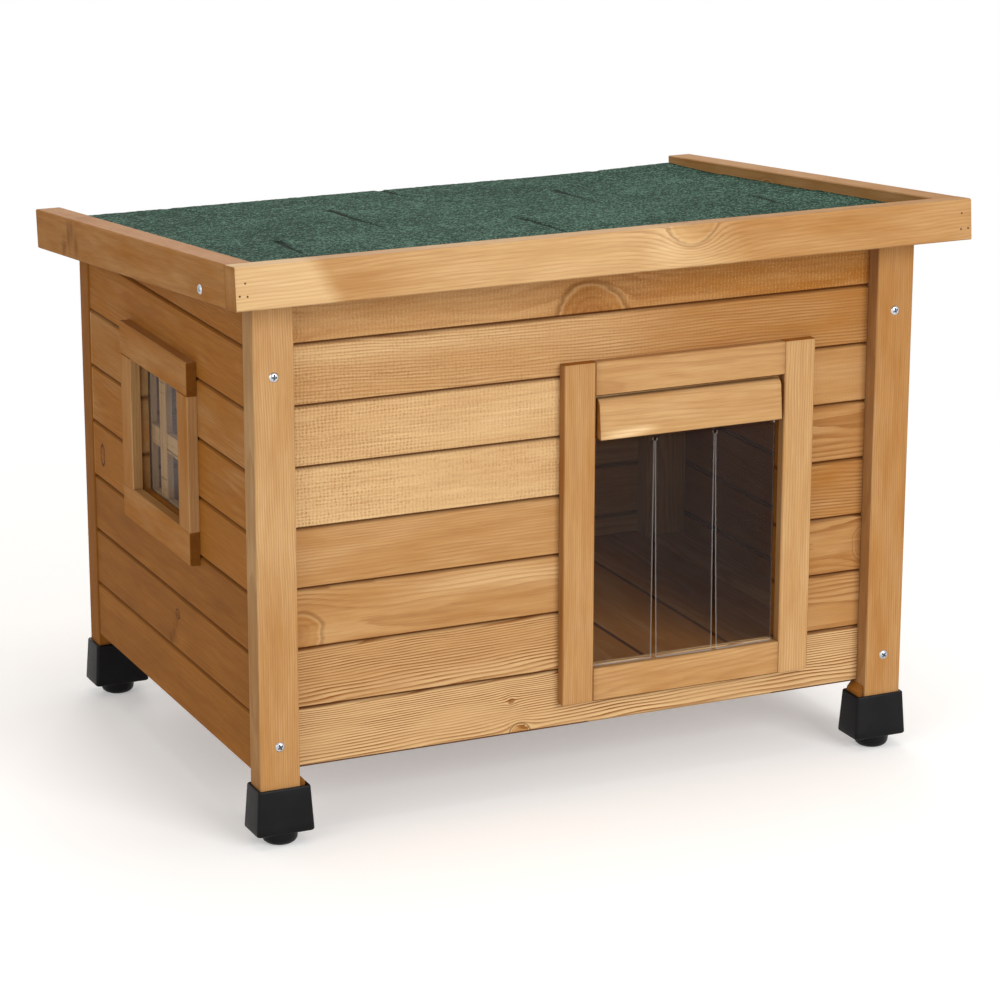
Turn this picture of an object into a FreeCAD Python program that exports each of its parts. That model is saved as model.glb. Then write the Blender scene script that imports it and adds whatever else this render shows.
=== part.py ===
"""Wooden cat house with a hinged pent roof, a doorway with clear flaps and a side window.

Millimetres. X runs to the right, Y to the rear and Z up. The origin is on the ground, under
the middle of the house. The roof slopes down to the rear and is hinged there.
"""
import FreeCAD
import Part
import math
import os
import re
import Sketcher

# Driving sizes: name, value, what it is
SIZES = [
    ("roof_width", 570, "roof over the side fascias"),
    ("roof_length", 440, "roof along its slope"),
    ("roof_pitch", 5.4, "slope of the roof in degrees"),
    ("roof_top", 429, "height of the roof's front edge"),
    ("fascia_height", 30, "fascia boards, square to the slope"),
    ("fascia_thickness", 20, "fascia boards"),
    ("felt_drop", 8, "felt below the top of the fascia"),
    ("felt_thickness", 2, "roofing felt"),
    ("deck_thickness", 7, "roof boards under the felt"),
    ("deck_batten_width", 30, "stiffener under the roof boards"),
    ("deck_batten_height", 14, "stiffener under the roof boards"),
    ("deck_batten_inset", 30, "stiffener's ends from the walls"),
    ("deck_batten_spacing", 300, "between the two stiffeners' middles"),
    ("front_overhang", 35, "roof in front of the posts"),
    ("rear_overhang", 27, "roof behind the posts"),
    ("side_gap", 5, "between a side fascia and the posts"),
    ("post_width", 30, "post, along X"),
    ("post_depth", 20, "post, along Y"),
    ("wall_bottom", 51.6, "lower edge of the walls"),
    ("board_pitch", 44, "height of one row of boards"),
    ("top_row_extra", 2.7, "front's top row over the row below it"),
    ("board_thickness", 7, "wall boards"),
    ("groove_bevel", 1.8, "bevel on each side of a V groove"),
    ("tongue_height", 4, "tongue on a board's edge"),
    ("tongue_thickness", 2.2, "tongue on a board's edge"),
    ("tongue_play", 0.2, "room around a tongue"),
    ("side_recess", 1, "side boards inside the posts' faces"),
    ("lid_gap", 0.4, "roof above the walls when shut"),
    ("edge_bevel", 0.8, "eased long edges of posts, fascias and frame members"),
    ("corner_width", 36, "corner batten, along X"),
    ("corner_depth", 18, "corner batten, along Y"),
    ("frame_width", 25, "members of the door and window frames"),
    ("frame_thickness", 8, "members of the door and window frames"),
    ("frame_reveal", 1, "boards stand back from the frame's inner edge"),
    ("door_width", 204, "door frame outside"),
    ("door_height", 255.5, "door frame outside"),
    ("door_centre", 79.5, "doorway to the right of the middle"),
    ("sheet_thickness", 2, "clear flap sheet"),
    ("sheet_left_gap", 2, "sheet to the left stile"),
    ("sheet_right_gap", 4, "sheet to the right stile"),
    ("sheet_top_cover", 2, "flap batten above the sheet's top edge"),
    ("flap_axis_drop", 6.6, "line where the strips bend, below the flap batten"),
    ("flap_sill_gap", 0.6, "strips above the sill"),
    ("flap_joint_gap", 0.4, "between a strip and the clamped band"),
    ("slit_top", 0.8, "slit between two strips at the top"),
    ("slit_bottom", 4, "slit between two strips at the bottom"),
    ("slit_hole_radius", 1.6, "round stop at the top of a slit"),
    ("flap_batten_top_gap", 2.5, "flap batten under the top rail"),
    ("flap_batten_height", 29.5, "flap batten"),
    ("flap_batten_foot", 10.5, "flap batten's thickness at its lower edge"),
    ("flap_batten_head", 7.5, "flap batten's thickness at its upper edge"),
    ("flap_batten_round", 4, "rounded upper edge of the flap batten"),
    ("window_width", 146, "window frame outside"),
    ("window_height", 151, "window frame outside"),
    ("window_base", 177, "height of the window frame's lower edge"),
    ("window_shift", 1.5, "window to the rear of the wall's middle"),
    ("window_stile", 22, "upright members of the window frame"),
    ("window_reveal", 3, "boards stand back from the window's uprights"),
    ("pane_thickness", 2, "clear window pane"),
    ("pane_lap", 10, "pane over the edge of the opening"),
    ("lattice_thickness", 5, "lattice behind the pane"),
    ("lattice_bar", 15, "bars of the lattice"),
    ("lattice_middle", 41, "width of the lattice's middle lights"),
    ("lattice_drop", 8, "lattice's cross bar below the middle of the opening"),
    ("bearer_height", 20, "floor bearer"),
    ("bearer_depth", 18, "floor bearer"),
    ("floor_thickness", 8, "floor boards"),
    ("floor_play", 0.5, "floor boards to the walls"),
    ("cap_top", 43.5, "height of the foot cap's rim"),
    ("cap_base", 10, "height of the foot cap's underside"),
    ("cap_floor", 4, "floor of the foot cap under the post"),
    ("cap_wall", 2.4, "wall of the foot cap at the rim"),
    ("cap_flare", 2, "foot cap wider at the bottom, each side"),
    ("cap_round", 2.2, "rounded corners of the foot cap"),
    ("glide_radius", 13, "round glide under the foot cap"),
    ("packer_thickness", 5, "packer beside the post"),
    ("packer_setback", 3, "packer behind the post's face"),
    ("packer_gap", 1, "packer below the wall"),
    ("hinge_offset", 3.5, "pin from the wall and from the roof boards"),
    ("hinge_length", 50, "hinge along its pin"),
    ("hinge_spacing", 330, "between the two hinges' middles"),
    ("leaf_thickness", 1.2, "hinge leaf"),
    ("leaf_reach", 19, "hinge leaf from the pin to its edge"),
    ("leaf_notch", 4, "leaf cut back beside the other leaf's knuckle"),
    ("knuckle_radius", 3, "hinge knuckle"),
    ("knuckle_share", 20, "length of the roof leaf's knuckle"),
    ("knuckle_gap", 0.4, "between two knuckles"),
    ("pin_radius", 1.5, "hinge pin"),
    ("pin_play", 0.05, "pin in its knuckle"),
    ("screw_radius", 2, "post and fascia screws"),
    ("screw_head_radius", 3.6, "post and fascia screws"),
    ("screw_head_height", 1.4, "post and fascia screws"),
    ("post_screw_length", 32, "post screw under its head"),
    ("post_screw_rise", 22.9, "lower post screws above the walls' lower edge"),
    ("post_screw_drop", 30.7, "upper post screws below the rear posts' top"),
    ("fascia_screw_back", 70, "fascia screw behind the roof's front edge"),
    ("fascia_screw_drop", 22, "fascia screw below the fascia's top"),
    ("fascia_screw_length", 23, "fascia screw under its head"),
    ("screw_play", 0.05, "screw in its hole"),
]

# Places worked out from the sizes: name, formula
PLACES = [
    ("roof_front", "(fascia_height * sin(roof_pitch) - roof_length * cos(roof_pitch)) / 2"),
    ("deck_half", "roof_width / 2 - fascia_thickness"),
    ("deck_under", "felt_drop + felt_thickness + deck_thickness"),
    ("house_width", "roof_width - 2 * (fascia_thickness + side_gap)"),
    ("house_depth", "roof_length * cos(roof_pitch) - front_overhang - rear_overhang"),
    ("front_face", "roof_front + front_overhang"),
    ("rear_face", "front_face + house_depth"),
    ("front_inner", "front_face + post_depth"),
    ("rear_inner", "rear_face - post_depth"),
    ("front_board_face", "front_inner - board_thickness"),
    ("rear_board_face", "rear_inner + board_thickness"),
    ("side_face", "house_width / 2"),
    ("post_inner", "side_face - post_width"),
    ("side_board_face", "side_face - side_recess"),
    ("side_board_inner", "side_board_face - board_thickness"),
    ("corner_inner", "side_board_inner - corner_width"),
    ("front_batten_back", "front_inner + corner_depth"),
    ("rear_batten_front", "rear_inner - corner_depth"),
    ("front_top", "roof_top - (front_inner - roof_front) * tan(roof_pitch)"
                  " - deck_under / cos(roof_pitch) - lid_gap"),
    ("front_batten_top", "front_top - corner_depth * tan(roof_pitch)"),
    ("rear_batten_top", "front_top - (rear_inner - front_inner) * tan(roof_pitch)"),
    ("rear_board_top", "rear_batten_top - board_thickness * tan(roof_pitch)"),
    ("rear_top", "rear_batten_top - post_depth * tan(roof_pitch)"),
    ("sill_top", "wall_bottom + board_pitch"),
    ("upper_row", "wall_bottom + 6 * board_pitch"),
    ("eave_row", "(upper_row + front_top - top_row_extra) / 2"),
    ("post_screw_low", "wall_bottom + post_screw_rise"),
    ("post_screw_high", "rear_top - post_screw_drop"),
    ("door_left", "door_centre - door_width / 2"),
    ("door_right", "door_centre + door_width / 2"),
    ("door_base", "sill_top - frame_width"),
    ("door_top", "door_base + door_height"),
    ("door_clear_left", "door_left + frame_width"),
    ("door_clear_right", "door_right - frame_width"),
    ("doorway_left", "door_clear_left - frame_reveal"),
    ("doorway_right", "door_clear_right + frame_reveal"),
    ("frame_face", "front_board_face - frame_thickness"),
    ("sheet_left", "door_clear_left + sheet_left_gap"),
    ("sheet_width", "door_clear_right - sheet_right_gap - sheet_left"),
    ("sheet_front", "front_board_face - sheet_thickness"),
    ("sheet_middle", "front_board_face - sheet_thickness / 2"),
    ("strip_width", "sheet_width / 3"),
    ("flap_batten_top", "door_top - frame_width - flap_batten_top_gap"),
    ("sheet_top", "flap_batten_top - sheet_top_cover"),
    ("flap_axis", "flap_batten_top - flap_batten_height - flap_axis_drop"),
    ("band_base", "flap_axis + sheet_thickness / 2 + flap_joint_gap"),
    ("flap_base", "sill_top + flap_sill_gap"),
    ("window_middle", "(front_inner + rear_inner) / 2 + window_shift"),
    ("window_front", "window_middle - window_width / 2"),
    ("window_rear", "window_middle + window_width / 2"),
    ("window_top", "window_base + window_height"),
    ("glass_front", "window_front + window_stile - window_reveal"),
    ("glass_rear", "window_rear - window_stile + window_reveal"),
    ("glass_base", "window_base + frame_width - frame_reveal"),
    ("glass_top", "window_top - frame_width + frame_reveal"),
    ("lattice_front", "window_middle - lattice_middle / 2 - lattice_bar"),
    ("lattice_rear", "window_middle + lattice_middle / 2"),
    ("lattice_base", "(glass_base + glass_top - lattice_bar) / 2 - lattice_drop"),
    ("floor_base", "wall_bottom + bearer_height"),
    ("floor_top", "floor_base + floor_thickness"),
    ("floor_half", "side_board_inner - floor_play"),
    ("floor_pitch", "2 * corner_inner / 6"),
    ("foot_inner", "post_inner - packer_thickness"),
    ("packer_top", "wall_bottom - packer_gap"),
    ("post_base", "cap_base + cap_floor"),
    ("pin_y", "rear_face + hinge_offset"),
    ("pin_z", "roof_top - (pin_y - roof_front) * tan(roof_pitch)"
              " - (deck_under + hinge_offset) / cos(roof_pitch)"),
    ("pin_back", "(pin_y - roof_front + (deck_under + hinge_offset) * sin(roof_pitch)) / cos(roof_pitch)"),
    ("deck_pitch", "(roof_length - fascia_thickness) / 7"),
    ("post_middle", "(post_inner + side_face) / 2"),
]

NAMES = {row[0] for row in SIZES + PLACES}
FLOOR_BOARDS = 6
DECK_BOARDS = 7
LEAST_RIP = 0.25  # narrowest board that is ripped to finish a wall, as a share of a row

doc = FreeCAD.newDocument("cat_house")
sub_parts = []


def make_sheet():
    """Put the sizes in a spreadsheet as numbers, and the places as formulas of them."""
    sheet = doc.addObject("Spreadsheet::Sheet", "Sizes")
    for row, (name, value, note) in enumerate(SIZES, start=1):
        sheet.set(f"A{row}", note)
        sheet.set(f"B{row}", str(value))
        sheet.setAlias(f"B{row}", name)
    for row, (name, formula) in enumerate(PLACES, start=len(SIZES) + 1):
        sheet.set(f"A{row}", name)
        sheet.set(f"B{row}", "=" + formula)
        sheet.setAlias(f"B{row}", name)
    doc.recompute()
    return sheet


def bound(formula):
    """Point each name in a formula at its cell."""
    return re.sub(r"[a-z_]+", lambda word: "Sizes." + word[0] if word[0] in NAMES else word[0], formula)


def value(formula):
    """What a formula comes to with the sizes in the sheet."""
    return float(sizes.evalExpression(bound(formula)))


def new_body(label):
    made = doc.addObject("PartDesign::Body", label)
    made.Label = label
    return made


def keep(piece, label):
    """Note an object as a finished sub-part under its own label."""
    piece.Label = label
    sub_parts.append(piece)
    return piece


def new_sketch(body, plane, offset="0"):
    """A sketch on one of the body's own planes, moved along that plane's normal."""
    made = body.newObject("Sketcher::SketchObject", body.Name + "_sketch")
    made.AttachmentSupport = [(next(f for f in body.Origin.OriginFeatures if f.Role == plane), "")]
    made.MapMode = "FlatFace"
    made.setExpression("AttachmentOffset.Base.z", bound(offset))
    return made


def pin_point(sketch, element, vertex, formulas, values):
    """Tie one vertex of a sketch to two formulas."""
    for kind, formula, value in zip(("DistanceX", "DistanceY"), formulas, values):
        index = sketch.addConstraint(Sketcher.Constraint(kind, -1, 1, element, vertex, value))
        sketch.setExpression(f"Constraints[{index}]", bound(formula))


def draw_outline(sketch, corners):
    """A closed outline of straight lines, each corner tied to its formulas."""
    values = [tuple(value(formula) for formula in corner) for corner in corners]
    first = sketch.GeometryCount
    count = len(corners)
    for here in range(count):
        start = FreeCAD.Vector(*values[here], 0)
        end = FreeCAD.Vector(*values[(here + 1) % count], 0)
        sketch.addGeometry(Part.LineSegment(start, end), False)
    for here in range(count):
        after = first + (here + 1) % count
        sketch.addConstraint(Sketcher.Constraint("Coincident", first + here, 2, after, 1))
    for here in range(count):
        pin_point(sketch, first + here, 1, corners[here], values[here])


def draw_circle(sketch, centre, radius):
    values = [value(formula) for formula in centre]
    size = value(radius)
    up = FreeCAD.Vector(0, 0, 1)
    element = sketch.addGeometry(Part.Circle(FreeCAD.Vector(*values, 0), up, size), False)
    pin_point(sketch, element, 3, centre, values)
    index = sketch.addConstraint(Sketcher.Constraint("Radius", element, size))
    sketch.setExpression(f"Constraints[{index}]", bound(radius))


def add_pad(body, sketch, length):
    pad = body.newObject("PartDesign::Pad", body.Name + "_pad")
    pad.Profile = sketch
    pad.setExpression("Length", bound(length))
    return pad


def add_prism(body, plane, corners, start, length):
    """Pad an outline along the plane's normal, from a start place."""
    sketch = new_sketch(body, plane, start)
    draw_outline(sketch, corners)
    return add_pad(body, sketch, length)


def add_rod(body, plane, centre, radius, start, length):
    sketch = new_sketch(body, plane, start)
    draw_circle(sketch, centre, radius)
    return add_pad(body, sketch, length)


def cut_through(body, sketch):
    """Cut a sketch right through its body, both ways."""
    pocket = body.newObject("PartDesign::Pocket", body.Name + "_cut")
    pocket.Profile = sketch
    pocket.Type = "ThroughAll"
    pocket.SideType = "Symmetric"
    return pocket


def cut_outline(body, plane, corners):
    sketch = new_sketch(body, plane)
    draw_outline(sketch, corners)
    return cut_through(body, sketch)


def drill(body, plane, centres, radius):
    """Round holes right through a body, square to a plane."""
    sketch = new_sketch(body, plane)
    for centre in centres:
        draw_circle(sketch, centre, radius)
    return cut_through(body, sketch)


def box_outline(low_a, high_a, low_b, high_b):
    return [(low_a, low_b), (high_a, low_b), (high_a, high_b), (low_a, high_b)]


def block(label, x, y, z):
    """A square-edged piece between two places on each axis."""
    body = new_body(label)
    add_prism(body, "XY_Plane", box_outline(*x, *y), z[0], f"({z[1]}) - ({z[0]})")
    return body


def dress(body, kind, setting, formula, wanted):
    """Fillet or chamfer the edges of the body's last feature that a test picks."""
    doc.recompute()
    blank = body.Tip
    names = [f"Edge{number}" for number, edge in enumerate(blank.Shape.Edges, start=1) if wanted(edge)]
    dressing = body.newObject(kind, body.Name + "_edges")
    dressing.Base = (blank, names)
    dressing.setExpression(setting, bound(formula))


def timber(label, x, y, z):
    """A planed piece between two places on each axis, with its long edges eased."""
    body = block(label, x, y, z)
    doc.recompute()
    box = body.Shape.BoundBox
    longest = max(box.XLength, box.YLength, box.ZLength)
    dress(body, "PartDesign::Chamfer", "Size", "edge_bevel",
          lambda edge: abs(edge.Length - longest) < longest / 1000)
    return body


def group(label, bodies):
    """Several loose pieces of one kind under one label."""
    made = doc.addObject("Part::Compound", label)
    made.Links = bodies
    return keep(made, label)


def on_roof(body):
    """Lay a body that was drawn flat onto the roof: its Y runs down the slope from the front edge."""
    body.Placement = FreeCAD.Placement(FreeCAD.Vector(), FreeCAD.Rotation(FreeCAD.Vector(-1, 0, 0), 1))
    body.setExpression("Placement.Base.y", bound("roof_front"))
    body.setExpression("Placement.Base.z", bound("roof_top"))
    body.setExpression("Placement.Rotation.Angle", bound("roof_pitch"))
    return body


def board_section(thickness, height, groove=True, tongue=True):
    """A tongued and V-grooved board's section as (depth behind its face, height up its edge)."""
    middle = f"{thickness} / 2"
    slot = "(tongue_thickness / 2 + tongue_play)"
    rib = "tongue_thickness / 2"
    section = [("groove_bevel", "0")]
    if groove:
        floor = "tongue_height + tongue_play"
        section += [(f"{middle} - {slot}", "0"), (f"{middle} - {slot}", floor),
                    (f"{middle} + {slot}", floor), (f"{middle} + {slot}", "0")]
    section += [(thickness, "0"), (thickness, height)]
    if tongue:
        crest = f"{height} + tongue_height"
        section += [(f"{middle} + {rib}", height), (f"{middle} + {rib}", crest),
                    (f"{middle} - {rib}", crest), (f"{middle} - {rib}", height)]
    section += [("groove_bevel", height), ("0", f"{height} - groove_bevel"), ("0", "groove_bevel")]
    return section


def board_along_x(label, face, inward, base, height, left, right, **edges):
    """A front, rear or roof board: its face looks along Y, or it lies flat in the roof."""
    body = new_body(label)
    corners = [(f"{face} {inward} ({depth})", f"{base} + {up}")
               for depth, up in board_section("board_thickness", height, **edges)]
    add_prism(body, "YZ_Plane", corners, left, f"({right}) - ({left})")
    return body


def board_along_y(label, face, inward, base, height, front, rear, **edges):
    """A side board: its face looks along X. This plane's normal runs to the front."""
    body = new_body(label)
    corners = [(f"{face} {inward} ({depth})", f"{base} + {up}")
               for depth, up in board_section("board_thickness", height, **edges)]
    add_prism(body, "XZ_Plane", corners, f"-({rear})", f"({rear}) - ({front})")
    return body


def row_base(row):
    return f"wall_bottom + {row} * board_pitch"


def wall_rows(top):
    """The base and height of each row up to a wall's top. The last row is ripped to what is left."""
    count = max(1, math.ceil(value(f"({top} - wall_bottom) / board_pitch") - LEAST_RIP))
    heights = ["board_pitch"] * (count - 1) + [f"({top} - ({row_base(count - 1)}))"]
    return [(row_base(number), height) for number, height in enumerate(heights)]


def make_posts():
    """Four posts in their foot caps, drilled for the screws, with a corner batten behind each."""
    hole = "screw_radius + screw_play"
    for side, sign in (("left", "-"), ("right", "")):
        x_post = sorted_span(sign, "post_inner", "side_face")
        x_batten = sorted_span(sign, "corner_inner", "side_board_inner")
        holes = [(f"{sign}post_middle", "post_screw_low"), (f"{sign}post_middle", "post_screw_high")]
        for end, y_post, top, y_batten, batten_top in (
                ("front", ("front_face", "front_inner"), "front_top",
                 ("front_inner", "front_batten_back"), "front_batten_top"),
                ("rear", ("rear_inner", "rear_face"), "rear_top",
                 ("rear_batten_front", "rear_inner"), "rear_batten_top")):
            post = timber(f"post_{end}_{side}", x_post, y_post, ("post_base", top))
            drill(post, "XZ_Plane", holes, hole)
            keep(post, f"post_{end}_{side}")
            batten = block(f"corner_batten_{end}_{side}", x_batten, y_batten, ("wall_bottom", batten_top))
            drill(batten, "XZ_Plane", holes, hole)
            keep(batten, f"corner_batten_{end}_{side}")


def sorted_span(sign, inner, outer):
    """A span in X on the left or right side, low end first."""
    return (f"-{outer}", f"-{inner}") if sign else (inner, outer)


def make_feet():
    """Flared plastic caps with a round glide below, and the packer that fills each cap beside its post."""
    packers = []
    for side, sign in (("left", "-"), ("right", "")):
        x = sorted_span(sign, "foot_inner", "side_face")
        for end, y in (("front", ("front_face", "front_inner")), ("rear", ("rear_inner", "rear_face"))):
            name = f"foot_{end}_{side}"
            foot = new_body(name)
            add_cap(foot, x, y)
            middle = (f"({x[0]} + {x[1]}) / 2", f"({y[0]} + {y[1]}) / 2")
            add_rod(foot, "XY_Plane", middle, "glide_radius", "0", "cap_base")
            keep(foot, name)
            packers.append(make_packer(f"leg_packer_{end}_{side}", sign, end))
    group("leg_packers", packers)


def add_cap(foot, x, y):
    """A block that widens downwards, with rounded corners and a square socket. Its height runs along Z."""
    wedge = foot.newObject("PartDesign::AdditiveWedge", foot.Name + "_wedge")
    wedge.AttachmentSupport = [(next(f for f in foot.Origin.OriginFeatures if f.Role == "XZ_Plane"), "")]
    wedge.MapMode = "FlatFace"
    wide = "(cap_wall + cap_flare)"
    for setting, formula in (
            ("Ymin", "cap_base"), ("Ymax", "cap_top"),
            ("Xmin", f"{x[0]} - {wide}"), ("Xmax", f"{x[1]} + {wide}"),
            ("X2min", f"{x[0]} - cap_wall"), ("X2max", f"{x[1]} + cap_wall"),
            ("Zmin", f"-({y[1]}) - {wide}"), ("Zmax", f"-({y[0]}) + {wide}"),
            ("Z2min", f"-({y[1]}) - cap_wall"), ("Z2max", f"-({y[0]}) + cap_wall")):
        wedge.setExpression(setting, bound(formula))
    dress(foot, "PartDesign::Fillet", "Radius", "cap_round",
          lambda edge: edge.BoundBox.ZLength > edge.Length / 2)
    socket = new_sketch(foot, "XY_Plane", "cap_top")
    draw_outline(socket, box_outline(*x, *y))
    hollow = foot.newObject("PartDesign::Pocket", foot.Name + "_socket")
    hollow.Profile = socket
    hollow.setExpression("Length", bound("cap_top - post_base"))


def make_packer(label, sign, end):
    """A thin strip on the inner side of a post, its top bevelled away from the post."""
    low, high = (("front_face + packer_setback", "front_inner") if end == "front"
                 else ("rear_inner", "rear_face - packer_setback"))
    side = (lambda place: f"{sign}({place})")
    corners = [(side("post_inner"), "post_base"), (side("post_inner"), "packer_top"),
               (side("foot_inner"), "packer_top - packer_thickness"), (side("foot_inner"), "post_base")]
    body = new_body(label)
    add_prism(body, "XZ_Plane", corners, f"-({high})", f"({high}) - ({low})")
    return body


def make_front_wall():
    """Eight rows of boards: a sill, four rows either side of the doorway, and three rows over it."""
    def row(label, number, left, right, **edges):
        return board_along_x(label, "front_board_face", "+", row_base(number), "board_pitch", left, right,
                             **edges)

    ends = ("-post_inner", "post_inner")
    keep(row("front_board_sill", 0, *ends, groove=False, tongue=False), "front_board_sill")
    left = []
    right = []
    for number in range(1, 5):
        groove = number > 1
        left.append(row(f"front_left_{number}", number, "-post_inner", "doorway_left", groove=groove))
        right.append(row(f"front_right_{number}", number, "doorway_right", "post_inner", groove=groove))
    group("front_boards_left", left)
    group("front_boards_right", right)
    keep(row("front_board_lintel", 5, *ends), "front_board_lintel")
    upper = board_along_x("front_board_upper", "front_board_face", "+", "upper_row", "(eave_row - upper_row)",
                          *ends)
    keep(upper, "front_board_upper")
    top = board_along_x("front_board_top", "front_board_face", "+", "eave_row", "(front_top - eave_row)",
                        *ends, tongue=False)
    keep(top, "front_board_top")


def make_rear_wall():
    """Plain rows between the rear posts, the last one cut low under the roof, and the hinge rail."""
    rows = wall_rows("rear_board_top")
    boards = []
    for number, (base, height) in enumerate(rows):
        boards.append(board_along_x(f"rear_{number}", "rear_board_face", "-", base, height, "-post_inner",
                                    "post_inner", groove=number > 0, tongue=number < len(rows) - 1))
    group("rear_boards", boards)
    rail = block("hinge_rail", ("-post_inner", "post_inner"), ("rear_board_face", "rear_face"),
                 ("rear_top - board_pitch", "rear_top"))
    keep(rail, "hinge_rail")


def make_side_walls():
    """Side boards between the posts, cut to the roof's slope. The left wall has a window."""
    rows = wall_rows("front_top")
    for side, face, inward in (("left", "-side_board_face", "+"), ("right", "side_board_face", "-")):
        boards = []
        for number, (base, height) in enumerate(rows):
            low = value(base)
            high = value(f"{base} + {height}")
            lengths = [("", "front_inner", "rear_inner")]
            beside = low >= value("glass_base") and high <= value("glass_top")
            if side == "left" and beside:
                lengths = [("_front", "front_inner", "glass_front"), ("_rear", "glass_rear", "rear_inner")]
            for part, front, rear in lengths:
                boards.append(board_along_y(f"{side}_{number}{part}", face, inward, base, height, front, rear,
                                            groove=number > 0, tongue=number < len(rows) - 1))
            if high > value("rear_batten_top - tongue_height"):
                cut_outline(boards[-1], "YZ_Plane", roof_slope_cut())
            if side == "left" and not beside and low < value("glass_top") and high > value("glass_base"):
                cut_outline(boards[-1], "YZ_Plane",
                            box_outline("glass_front", "glass_rear", "glass_base", "glass_top"))
        group(f"{side}_boards", boards)


def roof_slope_cut():
    """A triangle over the sloping top edge of a side wall."""
    return [("front_inner", "front_top"), ("rear_inner", "rear_batten_top"),
            ("rear_inner + post_depth", "rear_batten_top - post_depth * tan(roof_pitch)"),
            ("rear_inner + post_depth", "front_top + board_pitch"),
            ("front_inner - post_depth", "front_top + board_pitch"),
            ("front_inner - post_depth", "front_top + post_depth * tan(roof_pitch)")]


def make_door():
    """The door frame, and the tapered batten that clamps the clear sheet to the lintel board."""
    y = ("frame_face", "front_board_face")
    clear = ("door_clear_left", "door_clear_right")
    for label, x, z in (
            ("door_stile_left", ("door_left", "door_clear_left"), ("door_base", "door_top")),
            ("door_stile_right", ("door_clear_right", "door_right"), ("door_base", "door_top")),
            ("door_rail_top", clear, ("door_top - frame_width", "door_top")),
            ("door_rail_bottom", clear, ("door_base", "sill_top"))):
        keep(timber(label, x, y, z), label)
    batten = new_body("flap_batten")
    section = [("sheet_front", "flap_batten_top - flap_batten_height"),
               ("sheet_front", "flap_batten_top"),
               ("sheet_front - flap_batten_head", "flap_batten_top"),
               ("sheet_front - flap_batten_foot", "flap_batten_top - flap_batten_height")]
    add_prism(batten, "YZ_Plane", section, "sheet_left", "sheet_width")
    crown = FreeCAD.Vector(value("door_centre"), value("sheet_front - flap_batten_head"),
                           value("flap_batten_top"))
    reach = value("flap_batten_head") / 2
    dress(batten, "PartDesign::Fillet", "Radius", "flap_batten_round",
          lambda edge: edge.BoundBox.XLength > reach and edge.distToShape(Part.Vertex(crown))[0] < reach / 10)
    keep(batten, "flap_batten")


def make_flaps():
    """One clear sheet: a band clamped behind the batten, and three strips that swing below it."""
    band = new_body("flap_band")
    add_prism(band, "XZ_Plane",
              box_outline("sheet_left", "sheet_left + sheet_width", "band_base", "sheet_top"),
              "-front_board_face", "sheet_thickness")
    keep(band, "flap_band")
    for number, name in enumerate(("left", "middle", "right")):
        keep(make_strip(f"flap_{name}", number), f"flap_{name}")


def make_strip(label, number):
    """A strip with a rounded top edge on its bending line, slit wider towards its lower end."""
    left = f"sheet_left + {number} * strip_width"
    right = f"sheet_left + {number + 1} * strip_width"
    tops = ["0" if number == 0 else "slit_top / 2", "0" if number == 2 else "slit_top / 2"]
    feet = ["0" if number == 0 else "slit_bottom / 2", "0" if number == 2 else "slit_bottom / 2"]
    strip = new_body(label)
    add_prism(strip, "XZ_Plane",
              [(f"{left} + {tops[0]}", "flap_axis"), (f"{left} + {feet[0]}", "flap_base"),
               (f"{right} - {feet[1]}", "flap_base"), (f"{right} - {tops[1]}", "flap_axis")],
              "-front_board_face", "sheet_thickness")
    add_rod(strip, "YZ_Plane", ("sheet_middle", "flap_axis"), "sheet_thickness / 2",
            f"{left} + {tops[0]}", f"strip_width - {tops[0]} - {tops[1]}")
    stops = [(edge, "flap_axis") for edge, end in ((left, number > 0), (right, number < 2)) if end]
    drill(strip, "XZ_Plane", stops, "slit_hole_radius")
    return strip


def make_window():
    """The window frame on the left wall, with its pane and lattice on the inside of the boards."""
    x = ("-side_board_face - frame_thickness", "-side_board_face")
    light = ("window_front + window_stile", "window_rear - window_stile")
    whole = ("window_front", "window_rear")
    upright = ("window_base + frame_width", "window_top - frame_width")
    for label, y, z in (
            ("window_rail_top", whole, ("window_top - frame_width", "window_top")),
            ("window_rail_bottom", whole, ("window_base", "window_base + frame_width")),
            ("window_stile_front", ("window_front", light[0]), upright),
            ("window_stile_rear", (light[1], "window_rear"), upright)):
        keep(timber(label, x, y, z), label)
    around = box_outline("glass_front - pane_lap", "glass_rear + pane_lap",
                         "glass_base - pane_lap", "glass_top + pane_lap")
    pane = new_body("window_pane")
    add_prism(pane, "YZ_Plane", around, "-side_board_inner", "pane_thickness")
    keep(pane, "window_pane")
    lattice = new_body("window_lattice")
    add_prism(lattice, "YZ_Plane", around, "-side_board_inner + pane_thickness", "lattice_thickness")
    lights = new_sketch(lattice, "YZ_Plane")
    for front, rear in (("glass_front", "lattice_front"), ("lattice_front + lattice_bar", "lattice_rear"),
                        ("lattice_rear + lattice_bar", "glass_rear")):
        draw_outline(lights, box_outline(front, rear, "glass_base", "lattice_base"))
        draw_outline(lights, box_outline(front, rear, "lattice_base + lattice_bar", "glass_top"))
    cut_through(lattice, lights)
    keep(lattice, "window_lattice")


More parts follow.
